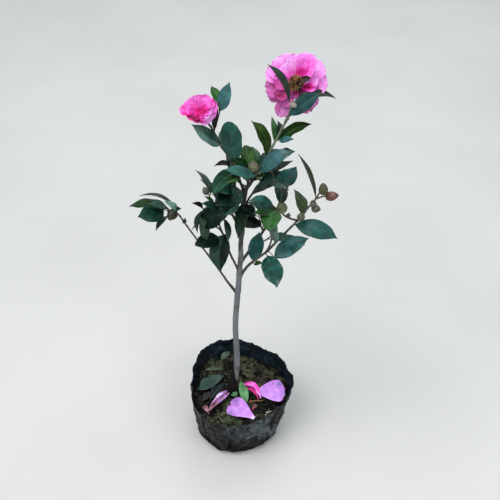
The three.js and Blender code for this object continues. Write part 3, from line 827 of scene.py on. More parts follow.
def trunk_tone(P, pts, rad):
    left = -(P[..., 0] - pts[:, None, 0]) / rad[:, None]
    z = P[..., 2] + 9 * rough(P * np.array([.16, .16, .05]), 33, 3)
    out = np.zeros(P.shape[:2], int)
    # the upper trunk darkens in two steps as it rises: painted shade under the leaves
    out[z + 22 * value_noise(P * np.array([.3, .3, .08]), 35) > 402] = 2
    out[z > 470] = 3
    # dark wet bark at the foot, reaching higher on the trunk's left side: wet bark and painted shade
    out[z < 138 + 20 * left] = 1
    return out


trunk[0, 2] -= 2.0
tube(wood, trunk[:, :3], trunk[:, 3], 32, trunk_tone, trunk_relief)


def collar(line, extra=0.9, span=5.0):
    """Widens a limb where it leaves its parent."""
    s = np.r_[0, np.cumsum(np.linalg.norm(np.diff(line[:, :3], axis=0), axis=1))]
    out = line.copy()
    out[:, 3] += extra * np.exp(-((s / span) ** 2))
    return out


for i, key in enumerate(["RF", "LF", "L1", "L2", "R1", "M1", "M2", "K1", "K2", "K3"]):
    line = collar(LINES[key])
    s = np.r_[0, np.cumsum(np.linalg.norm(np.diff(line[:, :3], axis=0), axis=1))]
    knots = [(k, .28) for k in np.arange(14 + 3 * (i % 3), s[-1], 15 + 2 * (i % 4))]

    def limb_relief(P, w, R, s=s, knots=knots, i=i):
        h = bark_relief(20 + i, .16)(P, w, R)
        for at, amp in knots:
            h += amp * np.exp(-((s - at) / 1.6) ** 2)[:, None] * (1 + .8 * np.sin(w + at))[None]
        return h

    def limb_tone(P, pts, rad, key=key):
        if key in ("RF", "LF"):
            z = P[..., 2] + 8 * value_noise(P * .2, 36)
            return np.where(z > (552 if key == "RF" else 900), 4, 3) * np.ones(P.shape[:2], int)
        return np.full(P.shape[:2], 3 if key in ("M1", "M2") else 2)
    tube(wood, line[:, :3], line[:, 3], 14, limb_tone, limb_relief)

twigs = Soup()
for i, line in enumerate([LINES[k] for k in ("FS", "G1", "L2b", "R1s", "R1t", "C0", "C1", "C2", "D4", "D5")]
                         + side_twigs):
    line = collar(line, 0.6, 3.0)
    tube(twigs, line[:, :3], line[:, 3], 9, 0, bark_relief(60 + i, .10))

# ------------------------------------------------------------------ flowers
PET_T = [0, .08, .2, .35, .5, .64, .78, .88, .95, 1]
PET_W = [.16, .22, .38, .62, .84, .97, 1, .90, .68, .34]


def put_petal(soup, root, out, axis, L, W, bands, a0=30, a1=-5, cup=.25, ruffle=.06, notch=.08,
              phase=0.0, nu=13, nv=11, thick=.35, shift=0.0, twist=0.0, curl=0.0, bend=0.0, paint=None):
    """One petal: out is the way it points, axis is the flower's own axis."""
    out = unit(out - (out @ axis) * axis)
    side = np.cross(axis, out)
    if twist:
        side, ax2 = (side * math.cos(twist) + axis * math.sin(twist),
                     axis * math.cos(twist) - side * math.sin(twist))
    else:
        ax2 = axis
    t = np.linspace(0, 1, nu)
    s = np.linspace(-1, 1, nv)
    ang = np.radians(a0 + (a1 - a0) * t + curl * t**6)
    dx = np.r_[0, np.cumsum(np.cos(ang)[:-1] / (nu - 1))] * L
    dz = np.r_[0, np.cumsum(np.sin(ang)[:-1] / (nu - 1))] * L
    w = np.interp(t, PET_T, PET_W) * W / 2
    S, TT = np.meshgrid(s, t)
    pull = 1 - notch * (1 - np.abs(S)) ** 1.5 * TT**6 - 0.05 * np.abs(S) ** 3 * TT**2
    X = dx[:, None] * pull
    Y = S * w[:, None] + bend * L * np.sin(math.pi * TT)
    Z = dz[:, None] + cup * w[:, None] * S**2
    Z = Z + ruffle * W * np.sin(S * 5.2 + phase + 3 * TT) * TT**2 * np.abs(S) ** .6
    Z = Z + ruffle * .6 * W * np.sin(S * 9.3 + 2.1 * phase) * TT**4
    Z = Z + .25 * np.sin(S * 14 + phase) * TT * (1 - .5 * TT)
    P = (np.asarray(root) + out * X[..., None] + side * Y[..., None] + ax2 * Z[..., None])
    nrm = np.cross(np.gradient(P, axis=1), np.gradient(P, axis=0))
    nrm /= np.maximum(np.linalg.norm(nrm, axis=2), 1e-9)[..., None]
    if (nrm[nu // 2, nv // 2] @ axis) < 0:
        nrm = -nrm
    Q = P - nrm * thick
    Q[:, 0], Q[:, -1], Q[-1] = P[:, 0], P[:, -1], P[-1]
    F, M = [], []
    n = nu * nv
    mids = (P[:-1, :-1] + P[1:, :-1] + P[:-1, 1:] + P[1:, 1:]) / 4
    tm = ((t[:-1] + t[1:]) / 2)[:, None] * np.ones(nv - 1)[None]
    sm = np.ones(nu - 1)[:, None] * ((s[:-1] + s[1:]) / 2)[None]
    if paint is not None:
        pick = paint(mids, tm, sm)
    for i in range(nu - 1):
        for j in range(nv - 1):
            if paint is not None:
                m = int(pick[i, j])
            else:
                tone = tm[i, j] + .10 * sm[i, j]**2 + shift
                m = bands[int(np.clip(tone * len(bands), 0, len(bands) - 1))]
            a, b, c, d = i * nv + j, i * nv + j + 1, (i + 1) * nv + j + 1, (i + 1) * nv + j
            F.append((a, d, c, b))
            M.append(m)
            F.append((a + n, b + n, c + n, d + n))
            M.append(m)
    # weld the two faces along the free edges by naming the same points
    V = np.vstack([P.reshape(-1, 3), Q.reshape(-1, 3)])
    same = {}
    for i in range(nu):
        same[n + i * nv] = i * nv
        same[n + i * nv + nv - 1] = i * nv + nv - 1
    for j in range(nv):
        same[n + (nu - 1) * nv + j] = (nu - 1) * nv + j
    F = [tuple(same.get(k, k) for k in q) for q in F]
    base = [j for j in range(nv)] + [n + j for j in range(nv - 2, 0, -1)]
    F.append(tuple(base))
    M.append(M[0])
    used = sorted({k for q in F for k in q})
    new = {k: i for i, k in enumerate(used)}
    soup.add(V[used], [tuple(new[k] for k in q) for q in F], M)


def petal_mat(name, r, g, b, rough=.55, light=LIGHT):
    return material(name, rgb(r * .93, g * .88, b * .94, light),
                    rgb(min(255, r * 1.04), min(255, g * 1.10), min(255, b * 1.03), light),
                    scale=110, roughness=rough, bump=.12, bump_scale=700, specular=.3, sheen=.15,
                    subsurface=.15)


petal_mats = [
    petal_mat("petal_deep", 222, 30, 128), petal_mat("petal_rose", 240, 70, 184),
    petal_mat("petal_pink", 250, 110, 216), petal_mat("petal_light", 248, 146, 238),
    petal_mat("petal_pale", 252, 178, 250), petal_mat("petal_hot", 255, 60, 194),
    petal_mat("petal_magenta", 250, 28, 158), petal_mat("petal_lilac", 212, 144, 234),
    petal_mat("petal_blush", 244, 208, 248), petal_mat("petal_dry", 172, 118, 140),
    petal_mat("petal_dusk", 200, 96, 176), petal_mat("petal_shade", 190, 66, 150),
    petal_mat("petal_red", 196, 18, 82), petal_mat("petal_wilted", 112, 66, 72),
    petal_mat("petal_violet", 202, 128, 224), petal_mat("petal_brown", 34, 21, 13),
    petal_mat("petal_mauve", 176, 126, 208), petal_mat("petal_plum", 146, 106, 176),
]
(P_DEEP, P_ROSE, P_PINK, P_LIGHT, P_PALE, P_HOT, P_MAG, P_LILAC, P_BLUSH, P_DRY, P_DUSK, P_SHADE,
 P_RED, P_WILT, P_VIOLET, P_BROWN, P_MAUVE, P_PLUM) = range(18)
# from the dark throat of a flower to its palest rim, and the same for petals in shade
BRIGHT = [(120, 6, 48), (166, 8, 82), (208, 18, 114), (236, 32, 148), (250, 62, 182), (252, 94, 202),
          (250, 118, 214), (248, 136, 224), (248, 156, 234), (250, 186, 244)]
SHADED = [(146, 16, 80), (176, 40, 120), (190, 66, 148), (202, 92, 166), (212, 118, 184), (226, 152, 208)]
B0 = len(petal_mats)
# the bright petal tones are dimmed less for the lamps than other colours: painted light, the petals brighter than
# their own colour
petal_mats += [petal_mat("petal_bright_%d" % i, *c, light=1.04) for i, c in enumerate(BRIGHT)]
S0 = len(petal_mats)
petal_mats += [petal_mat("petal_shaded_%d" % i, *c) for i, c in enumerate(SHADED)]
blooms = Soup()
f = rs(5)

# the large open flower at the top
BIG = at_y(296, 84, 8)
BIG_AX = unit(unit(CAM - BIG) + np.array([0.0, 0.0, 0.12]))
bx = unit(np.cross(np.array([0, 0, 1.0]), BIG_AX))
by = np.cross(BIG_AX, bx)


def on_disc(deg_, ax=None):
    w = math.radians(deg_)
    return bx * math.cos(w) + by * math.sin(w)


def soft_spots(P, spots):
    """Adds up soft patches, each given by where it is in the view, how wide and how strong."""
    x, y, _ = seen(P)
    out = np.zeros(x.shape)
    for u, v, su, sv, amount in spots:
        out += amount * np.exp(-((x - u) / su) ** 2 - ((y - v) / sv) ** 2)
    return out


# soft spots on the big flower: hot pink and crimson deepen the throat and the middle, the flower's own colour, with
# painted shade round the stamens and between petals; the left petals are darkened further with painted shade and the
# top petals made paler with a painted highlight
BIG_HUE_LIGHT_AND_SHADE = [(302.5, 71, 5.5, 4.5, -4.2), (309.5, 63.5, 4.0, 5.0, -1.8), (308, 87, 6.0, 3.6, -5.0),
             (284, 75, 5.0, 3.4, -2.2), (289, 60, 6.0, 6.0, 1.0), (319, 75, 6.0, 7.0, .8), (280.5, 95, 5.5, 3.6, -4.4),
             (290.6, 86.5, 2.8, 4.6, -3.8), (296, 92, 4.0, 2.6, -2.6),
             (274.5, 84, 3.5, 6.0, -2.4), (276, 105, 4.0, 5.0, -1.5), (286, 62, 6.0, 5.0, 1.0)]


def big_paint(shade, seed, shift=0.0):
    def paint(P, tm, sm):
        v = np.interp(tm, [0, .12, .28, .46, .7, 1], [.8, 2.4, 4.7, 5.9, 6.7, 7.3]) + shift
        v = v + soft_spots(P, BIG_HUE_LIGHT_AND_SHADE)
        streak = value_noise(np.stack([sm * 9 + seed, tm * 2.2, 0 * tm], -1), seed)
        v = v + .55 * streak + .8 * rough(P / 7.0, 300 + seed, 3)
        if shade:
            return S0 + np.clip(np.round(v * .60 - 1.3), 0, 5)
        return B0 + np.clip(np.round(v), 0, 9)
    return paint


root_big = BIG - BIG_AX * 9
PETALS = [
    # clock angle, reach, width, first and last slope, height, cup, ruffle, curl, shaded, tone shift
    (134, 43, 37, 30, 2, -2.0, .20, .030, -10, 0, .6),
    (92, 40, 44, 32, 2, -3.0, .20, .030, -10, 0, .2),
    (51, 44, 39, 28, 0, -1.5, .22, .035, -14, 0, .1),
    (8, 41, 30, 22, -6, -3.0, .18, .035, -10, 0, .3),
    (-42, 38, 19, 8, -14, -4.0, .14, .060, -8, 1, 1.6),
    (-61, 40, 20, 6, -16, -4.5, .14, .060, -8, 1, 1.0),
    (-117, 46, 21, 12, -18, -1.5, .14, .040, -6, 1, 1.4),
    (-152, 40, 19, 18, -12, -3.0, .16, .060, -8, 1, .6),
    (190, 41, 25, 22, -4, -1.5, .18, .050, -10, 1, .6),
    (157, 43, 24, 26, 0, -1.0, .22, .045, -12, 0, .4),
    # the next row stands up more and is folded
    (118, 34, 27, 46, 16, 0.5, .30, .045, -20, 0, .5),
    (84, 35, 25, 48, 18, 0.2, .30, .040, -20, 0, .0),
    (56, 38, 24, 46, 14, 1.2, .55, .040, -24, 0, -.8),
    (30, 32, 26, 40, 10, 0.8, .34, .060, -18, 0, .2),
    (3, 29, 22, 34, 4, 0.8, .34, .060, -18, 0, -.4),
    (-16, 31, 18, 22, -4, 0.0, .25, .060, -12, 0, -1.0),
    (174, 31, 22, 34, 6, 0.6, .34, .060, -16, 1, -.8),
    (-150, 32, 21, 28, 2, 1.2, .30, .070, -14, 1, -1.0),
    (-120, 33, 17, 20, -6, 1.0, .26, .050, -10, 1, -.2),
    (-95, 20, 12, 28, 6, 1.0, .30, .060, -10, 1, -.4),
    # a few short ones round the stamens
    (40, 19, 12, 66, 40, 2.0, .50, .080, -20, 0, -1.2),
    (14, 20, 6, 50, 24, 3.0, .40, .040, -20, 0, 2.0),
    (140, 18, 12, 62, 36, 2.0, .45, .080, -20, 0, -1.6),
    (-135, 17, 10, 50, 20, 2.0, .45, .080, -16, 1, -1.6),
]
for i, (w, reach, width, a0, a1, high, cup, ruffle, curl, shade, shift) in enumerate(PETALS):
    put_petal(blooms, root_big + BIG_AX * high, on_disc(w), BIG_AX, reach, width, None, a0, a1, cup=cup,
              ruffle=ruffle, notch=.03 + .03 * (i % 3), phase=f.uniform(0, 6.28), nu=25 if i < 20 else 13,
              nv=21 if i < 20 else 9, curl=curl, twist=f.uniform(-.08, .08), paint=big_paint(shade, i, shift))

# stamens
stamens = Soup()
for i in range(190):
    w = f.uniform(0, 360)
    r = 6.5 * math.sqrt(f.uniform(0, 1))
    lean = r / 6.5 * .40
    a = root_big + BIG_AX * 1.0 + on_disc(w) * r * .42
    d = unit(BIG_AX + on_disc(w) * lean)
    L = f.uniform(13.5, 18.5)
    b = a + d * L + on_disc(w) * f.uniform(-.5, 1.0)
    t = np.linspace(0, 1, 5)[:, None]
    mid = (a + b) / 2 + on_disc(w + 60) * f.uniform(-.8, .8)
    p = (1 - t) ** 2 * a + 2 * t * (1 - t) * mid + t**2 * b
    tube(stamens, p, .34, 5, 0)
    q = np.array([b - d * .2, b + d * .5, b + d * 1.3, b + d * 1.9])
    # some anthers are brown anywhere, and more of them on one side of the cluster: painted shade
    dark = .42 + .50 * max(0.0, math.cos(math.radians(w + 20)))
    tube(stamens, q, np.array([.35, .9, .9, .35]) * f.uniform(.7, 1.15), 6, 2 if f.uniform() < dark else 1)
# a dark brown petal among them, in two layers
for lean_, wide in ((26, 7.6), (12, 5.4)):
    put_petal(blooms, root_big + BIG_AX * 13 + on_disc(140) * 4, on_disc(14 - lean_ / 8), BIG_AX, 22, wide,
              [P_WILT + 2, P_WILT + 2], lean_, 16, cup=.5, ruffle=.08, notch=0, phase=1.0 + lean_, nu=11, nv=9)

# the smaller, half-open flower on the left leader: broad petals in a bowl, fewer and shorter inside
SMALL = at_y(198.6, 110.3, 8)
SM_AX = unit(np.array([0.04, -1.0, 0.60]))
bx = unit(np.cross(np.array([0, 0, 1.0]), SM_AX))
by = np.cross(SM_AX, bx)
root_small = SMALL - SM_AX * 7
# soft spots on the small flower: a hot pink centre and small dark specks are its own colour; the crimson band low on
# the left is painted shade inside the bowl; the paler lower right and top are painted light
SM_HUE_LIGHT_AND_SHADE = [(199.8, 112.8, 7.4, 5.0, -2.7), (184.0, 113.8, 3.0, 2.0, -2.2), (188.6, 116.4, 3.2, 2.2, -3.6),
            (193.4, 118.4, 3.2, 2.4, -4.2), (198.0, 120.2, 3.2, 2.2, -3.8), (202.0, 121.4, 2.8, 1.6, -2.8),
            (182.4, 109.5, 3.4, 4.0, -.8),
            (207.6, 117.6, 4.6, 3.4, 3.0), (211.6, 112, 3.0, 5.5, 2.0), (204, 108.5, 4.0, 5.0, -1.2), (198, 98.5, 7.0, 3.0, .9),
            (213, 101, 1.3, 1.3, -3.0), (212.4, 105, 1.2, 1.2, -2.6), (190.2, 112.6, 1.3, 1.1, -2.2),
            (184.4, 107.4, 1.3, 1.3, -2.0), (195.4, 104.6, 1.4, 1.2, -1.4), (208.4, 108.5, 1.3, 1.6, -1.8)]
SMALL_PETALS = [
    # clock angle, reach, width, first and last slope, height, cup, ruffle, curl, tone shift
    (178, 25.5, 14, 12, -4, -1.0, .26, .05, -8, .2), (157, 22, 16, 16, 0, -1.2, .22, .05, -8, .2),
    (131, 20.0, 21, 22, 4, -.8, .22, .03, -10, .2), (101, 20.4, 23, 24, 6, -1.2, .22, .03, -10, .4),
    (71, 20.9, 22, 24, 4, -.8, .22, .03, -10, .2), (44, 24, 21, 20, 0, -1.2, .22, .03, -10, .0),
    (19, 26, 19, 14, -4, -.8, .20, .05, -8, .0), (-7, 24, 18, 10, -6, -1.2, .20, .05, -8, .2),
    (-31, 22, 16, 6, -8, -.8, .20, .04, -8, 1.2), (-56, 21.5, 15, 4, -10, -1.2, .20, .04, -8, 1.4),
    (-88, 16.8, 17, 4, -10, -.8, .22, .04, -8, .2), (-120, 15.6, 16, 6, -8, -1.2, .22, .04, -8, -.4),
    (-150, 18, 14, 10, -6, -1.0, .22, .04, -8, -.2),
    (166, 18.5, 15, 34, 12, 1.0, .28, .04, -14, .0), (122, 14.0, 22, 38, 20, .6, .28, .03, -14, .1),
    (39, 19, 16, 36, 12, 1.0, .28, .05, -14, -.2), (9, 19.5, 16, 30, 8, .6, .28, .05, -12, -.2),
    (-21, 17.5, 15, 26, 4, 1.0, .26, .05, -12, .2), (-53, 15.5, 14, 22, 2, .6, .26, .05, -10, .4),
    (-90, 12.5, 15, 22, 4, 1.0, .26, .05, -10, -.2), (-135, 13.5, 15, 26, 8, .6, .26, .05, -10, -.2),
    (150, 11.8, 15, 34, 16, 2.0, .32, .04, -18, -.1), (96, 10.4, 18, 38, 20, 1.6, .32, .03, -18, -.1),
    (52, 13.4, 16, 34, 16, 2.0, .32, .06, -18, -.1), (6, 13.2, 15, 30, 12, 1.6, .32, .06, -16, -.3),
    (-41, 11, 14, 28, 10, 2.0, .32, .06, -14, -.1), (-99, 9.5, 14, 28, 12, 1.6, .32, .06, -14, -.3),
    (-160, 10.5, 14, 32, 14, 2.0, .32, .06, -16, -.2),
    (120, 9.2, 12, 46, 30, 2.8, .36, .06, -20, -.2), (48, 9.2, 12, 46, 30, 2.5, .36, .06, -20, -.2),
    (-24, 8.6, 11, 40, 26, 2.8, .36, .06, -18, -.4), (-96, 7.6, 11, 40, 26, 2.5, .36, .06, -18, -.4),
    (-168, 8.4, 11, 44, 28, 2.8, .36, .06, -18, -.3),
    (80, 6.4, 8, 58, 46, 3.2, .40, .05, -14, -.3), (-40, 6.2, 8, 56, 44, 3.2, .40, .05, -14, -.4),
    (-160, 6.2, 8, 56, 44, 3.2, .40, .05, -14, -.3),
]


def small_paint(seed, shift):
    def paint(P, tm, sm):
        v = 5.3 + shift - .5 * (1 - tm) ** 1.5 + .6 * steps(.84, .98, tm) + soft_spots(P, SM_HUE_LIGHT_AND_SHADE)
        v = v + .6 * rough(P / 4.6, 400, 3) + .25 * value_noise(np.stack([sm * 6, tm, 0 * tm], -1), seed)
        return B0 + np.clip(np.round(v), 0, 9)
    return paint


for i, (w, reach, width, a0, a1, high, cup, ruffle, curl, shift) in enumerate(SMALL_PETALS):
    put_petal(blooms, root_small + SM_AX * high, on_disc(w), SM_AX, reach, width, None, a0 + f.uniform(-4, 4),
              a1 + f.uniform(-5, 5), cup=cup, ruffle=ruffle, notch=.02 + .02 * (i % 3), phase=f.uniform(0, 6.28),
              nu=19, nv=17, thick=.3, twist=f.uniform(-.12, .12), curl=curl, paint=small_paint(i, shift))

# sepals behind each flower
sepals = Soup()
for root_, ax_, size in ((root_big, BIG_AX, 13), (root_small, SM_AX, 10)):
    bx = unit(np.cross(np.array([0, 0, 1.0]), ax_))
    by = np.cross(ax_, bx)
    for i in range(7):
        put_petal(sepals, root_ - ax_ * 5.0, on_disc(51.4 * i), ax_, size, size * .75, [1, 1, 0, 0],
                  20, 60, cup=.35, ruffle=.0, notch=0, nu=7, nv=7, thick=.5)
    bx_, by_ = bx, by
    t = np.linspace(0, 1, 7)
    tube(sepals, np.array([root_ - ax_ * (8 - 9 * k) for k in t]), 1.8 + 2.0 * np.sin(math.pi * t * .75), 10, 1)

# --------------------------------------------------------------------- buds
buds = Soup()
BUDS = [  # name, twig, px, width and height px, forward of the twig, tones, way it points in view
    ("D1", "C1", 253.2, 165.8, 9.2, 10.6, -15, (0, 1), (-.25, .6)),
    ("D3", "R1s", 281.8, 206.8, 10.2, 12.6, -3, (1, 5), (-.15, 1)),
    ("D4", "D4", 323.3, 188.6, 8.6, 12.4, 0, (2, 3), (-.1, 1)),
    ("D5", "D5", 332.4, 196, 8.8, 13.4, 0, (3, 8), (1, .1)),
    ("D6", "R1", 316.4, 208.8, 7.6, 9.6, -3, (6, 2), (1, -.3)),
    ("D7", "R1", 300.4, 216.8, 8, 8, -4, (6, 1), (-.6, .4)),
    ("D9", "L1", 171.8, 215.2, 10.2, 12.6, -4, (7, 2), (-.5, -.85)),
    ("D10", "L2", 205.4, 190.4, 6.2, 8.4, 0, (6, 2), (-.5, 1)),
    ("D11", "C1", 259.6, 172.6, 3.6, 4, -6, (0, 1), (.2, 1)),
    ("D12", "RF", 259, 178, 3.6, 4.4, -6, (0, 1), (.4, 1)),
    ("D13", "R1", 313.0, 203.4, 6.4, 7.4, -2, (6, 7), (-.2, 1)),
    ("D14", "RF", 293.2, 104.2, 6.4, 6.6, -10, (9, 6), (.1, 1)),
    ("D15", "R1s", 288.6, 214.8, 4, 4.4, -2, (6, 1), (.3, 1)),
    ("D16", "L1", 184.6, 220.6, 3.6, 6, -2, (7, 2), (.3, 1)),
]
BUD_TONES = [("bud_cream", 100, 104, 72), ("bud_green", 88, 106, 66), ("bud_olive", 74, 72, 46),
             ("bud_red", 122, 80, 66), ("bud_pink", 182, 90, 92), ("bud_grey", 98, 112, 82),
             ("bud_dusty", 92, 90, 78), ("bud_dark", 52, 54, 42), ("bud_tip", 84, 66, 58), ("bud_pale", 146, 136, 124)]
bud_mats = [material(n, rgb(r * .82, g_ * .82, b_ * .82), rgb(min(255, r * 1.12), min(255, g_ * 1.12), min(255, b_ * 1.12)),
                     scale=160, detail=6, roughness=.5, bump=.2, bump_scale=900, specular=.35)
            for n, r, g_, b_ in BUD_TONES]
h = rs(12)
for name, tw, px, py, wpx, hpx, fwd, (ta, tb), way in BUDS:
    q = nearest_on(tw, px, py)
    c = at_y(px, py, q[1] + fwd)
    per = FOCAL / ((c - CAM) @ AHEAD)
    length, width = hpx / per, wpx / per
    ax = unit(RIGHT * way[0] + ABOVE * way[1] - AHEAD * .35)
    base = c - ax * length * .5
    stalk(q, base + ax * .6, unit(-ax + np.array([0, 0, 1.0])), 1.1, 1.1)
    prof = np.array([0, .10, .24, .40, .56, .70, .82, .92, .98])
    rr = np.array([.40, .70, .92, 1.0, .94, .78, .56, .30, .12]) * width / 2 * .90
    tube(buds, base + ax * (prof * length)[:, None], rr, 12, tb)
    e1 = unit(np.cross(ax, np.array([0.2, 0.9, 0.4])))
    e2 = np.cross(ax, e1)
    rows = 4 if hpx > 10 else 3 if hpx > 6 else 2
    for r in range(rows):
        for i in range(4):
            w = math.radians(90 * i + 45 * r + h.uniform(-8, 8))
            o = e1 * math.cos(w) + e2 * math.sin(w)
            lo, hi = .01 + .13 * r, (.50 + .17 * r) * (.93 if r == rows - 1 else 1)
            tt = np.linspace(lo, hi, 6)
            ss = np.linspace(-1, 1, 7)
            rad = np.interp(tt, prof, rr)
            R_ = (rad + .35 + .25 * (rows - r))[:, None] * np.ones(7)[None]
            spread = (np.sin(math.pi * np.linspace(.28, .97, 6)) ** .7 * .82)[:, None] * ss[None]
            Pq = (base + ax * (tt * length)[:, None, None]
                  + (o * np.cos(spread)[..., None] + np.cross(ax, o) * np.sin(spread)[..., None]) * R_[..., None])
            inner = Pq - (o * np.cos(spread)[..., None] + np.cross(ax, o) * np.sin(spread)[..., None]) * .35
            V = np.vstack([Pq.reshape(-1, 3), inner.reshape(-1, 3)])
            F = grid_faces(6, 7) + [tuple(k + 42 for k in q_) for q_ in grid_faces(6, 7, flip=True)]
            rim = [j for j in range(7)] + [i_ * 7 + 6 for i_ in range(1, 6)] + \
                  [35 + j for j in range(5, -1, -1)] + [i_ * 7 for i_ in range(4, 0, -1)]
            for a_, b_ in zip(rim, rim[1:] + rim[:1]):
                F.append((b_, a_, a_ + 42, b_ + 42))
            edge = 8 if name in ("D1", "D3", "D5", "D11") else ta
            M = [edge if (k < 60 and (k % 30) // 6 == 4) or k >= 60 else ta for k in range(len(F))]
            buds.add(V, F, M)

# ------------------------------------------------------------------ the bag
RIM_MEAN, RIM_RISE, RIM_RIPPLE = 101.0, 12.5, 1.6
BASE_R, RIM_R, LOBE, LEAN = 71.0, 86.0, .07, .027


def rim_height(w):
    return RIM_MEAN + RIM_RISE * np.sin(w) + RIM_RIPPLE * (np.sin(3 * w + .8) + .7 * np.sin(7 * w + 2.1))


def wall_radius(w, share):
    r = np.interp(share, [0, .04, .14, .40, .72, 1.0],
                  [BASE_R * .92, BASE_R - 1, BASE_R + 3.5, BASE_R + 7.5, BASE_R + 11.5, RIM_R])
    return r * (1 + share * (LOBE * np.cos(3 * w) + LEAN * np.sin(w)))


k_ = rs(77)
NA, NH = 400, 84
w = np.linspace(0, 2 * math.pi, NA, endpoint=False)
share = np.r_[0, .004, .012, .025, np.linspace(.04, 1, NH - 4)]
W_, S_ = np.meshgrid(w, share)
creases = [(k_.uniform(0, 6.283), k_.uniform(.03, .10), k_.uniform(-4.2, 1.6), k_.uniform(-.45, .45),
            k_.uniform(0, .45), k_.uniform(.6, 1.1)) for _ in range(40)]


def folds(W_, S_):
    """How far the film stands out from its plain wall, and how sharp the crest is there."""
    d = np.zeros_like(W_)
    for at, wide, amp, drift, lo, hi in creases:
        x = (W_ - at - drift * S_ + math.pi) % (2 * math.pi) - math.pi
        live = steps(lo - .12, lo + .12, S_) * (1 - steps(hi - .1, hi + .12, S_))
        d += amp * np.maximum(0, 1 - np.abs(x) / wide) ** 1.2 * live
    around = np.stack([np.cos(W_) * 84, np.sin(W_) * 84, S_ * 104], -1)
    bent = around + 7 * np.stack([rough(around / 19, 44, 2), rough(around / 19, 45, 2), rough(around / 19, 46, 2)], -1)
    d += 2.8 * rough(around / 34, 41, 3)
    big = creased(bent * np.array([1, 1, .62]), 25.0, 3) - .48
    mid = creased(bent * np.array([1, 1, .80]), 11.5, 4) - .48
    small = creased(bent, 5.4, 5) - .48
    d += 6.4 * big + 3.3 * mid + 1.1 * small
    crest = 1.4 * big + 1.2 * mid + .8 * small
    low = steps(0, .10, S_)
    return d * low, crest


bag = Soup()
rim_tear = 2.4 * rough(np.stack([np.cos(w) * 5, np.sin(w) * 5, 0 * w], -1), 51, 4) \
    + 1.3 * value_noise(np.stack([np.cos(w) * 22, np.sin(w) * 22, 0 * w], -1), 52) \
    + .8 * value_noise(np.stack([np.cos(w) * 50, np.sin(w) * 50, 0 * w], -1), 53)
Hrim = rim_height(w) + rim_tear - 1.0
flare, crest = folds(W_, S_)
Rout = wall_radius(W_, S_) + flare - 1.2
Z_ = S_ * Hrim[None]
Z_[S_ < .03] *= 0.6
slump = (1 - S_) ** 1.2
outer_p = np.stack([Rout * np.cos(W_) - 4.2 * slump, Rout * np.sin(W_) - 2.6 * slump, Z_], -1)
outer_p[0, :, 2] = 0.0
Rin = Rout - .8
inner_p = np.stack([Rin * np.cos(W_) - 4.2 * slump, Rin * np.sin(W_) - 2.6 * slump, np.maximum(Z_, .8)], -1)
nO = len(share) * NA
F = grid_faces(len(share), NA, wrap=True)
# paler film on the crests and in fine streaks, partly dust and partly a painted highlight on the crinkles; soft spots
# placed in the view make the front paler at the centre and right, dust and painted sheen, and darker on the left, at
# the right edge and at the bottom, where it is painted shade; less of it near the rim and low down; mud low down, more
# on the front left
seat = rough(outer_p / 16, 71, 4)
facing = np.cos(W_ - math.radians(-50))
streak = rough(np.stack([W_ * 9 + 3 * S_, S_ * 3.0, 0 * W_], -1), 73, 4)
fine_seat = rough(outer_p / 8, 71, 4)
streak2 = rough(np.stack([W_ * 30 + 2 * S_, S_ * 2.6, 0 * W_], -1), 74, 3)
dust_and_shade_spots = soft_spots(outer_p, [(252, 431, 25, 9, 1.6), (267, 420, 10, 9, .6), (228, 435, 10, 6, .5), (207, 428, 14, 16, -1.3),
                               (240, 450, 40, 6, -.7), (285, 405, 6, 14, -.7)]) * steps(10, -10, outer_p[..., 1])
dust_and_highlight = 1.1 * (crest - .22) + .8 * fine_seat + .5 * streak + .7 * streak2 + dust_and_shade_spots - .50 \
    - .5 * steps(80, 98, Z_) - .3 * steps(34, 14, Z_)
muddy = 1.3 * rough(outer_p / 14, 72, 4) + 1.3 * steps(30, 3, Z_) + .35 * np.cos(W_ - math.radians(240)) * steps(60, 26, Z_)
tone_out = np.where(dust_and_highlight > .50, 2, np.where(dust_and_highlight > .02, 1, 0))
tone_out = np.where((muddy > .80) & (crest > -.9), 3, tone_out)
# inside, the crests take the paler film: painted glints on the creases
tone_in = np.where(crest + .6 * seat > .60, 1, 4)
M = [int(tone_out[i, j]) for i in range(len(share) - 1) for j in range(NA)]
F += [tuple(k + nO for k in q) for q in grid_faces(len(share), NA, wrap=True, flip=True)]
M += [int(tone_in[i, j]) for i in range(len(share) - 1) for j in range(NA)]
# the cut rim takes the paler film: a painted highlight along its edge
last = (len(share) - 1) * NA
for j in range(NA):
    k = (j + 1) % NA
    F.append((last + j, last + k, last + k + nO, last + j + nO))
    M.append(1)
V = np.vstack([outer_p.reshape(-1, 3), inner_p.reshape(-1, 3), [[0, 0, 0.0]], [[0, 0, .8]]])
c0, c1 = 2 * nO, 2 * nO + 1
for j in range(NA):
    k = (j + 1) % NA
    F.append((c0, k, j))
    F.append((c1, j + nO, k + nO))
    M += [0, 0]
bag.add(V, F, M)

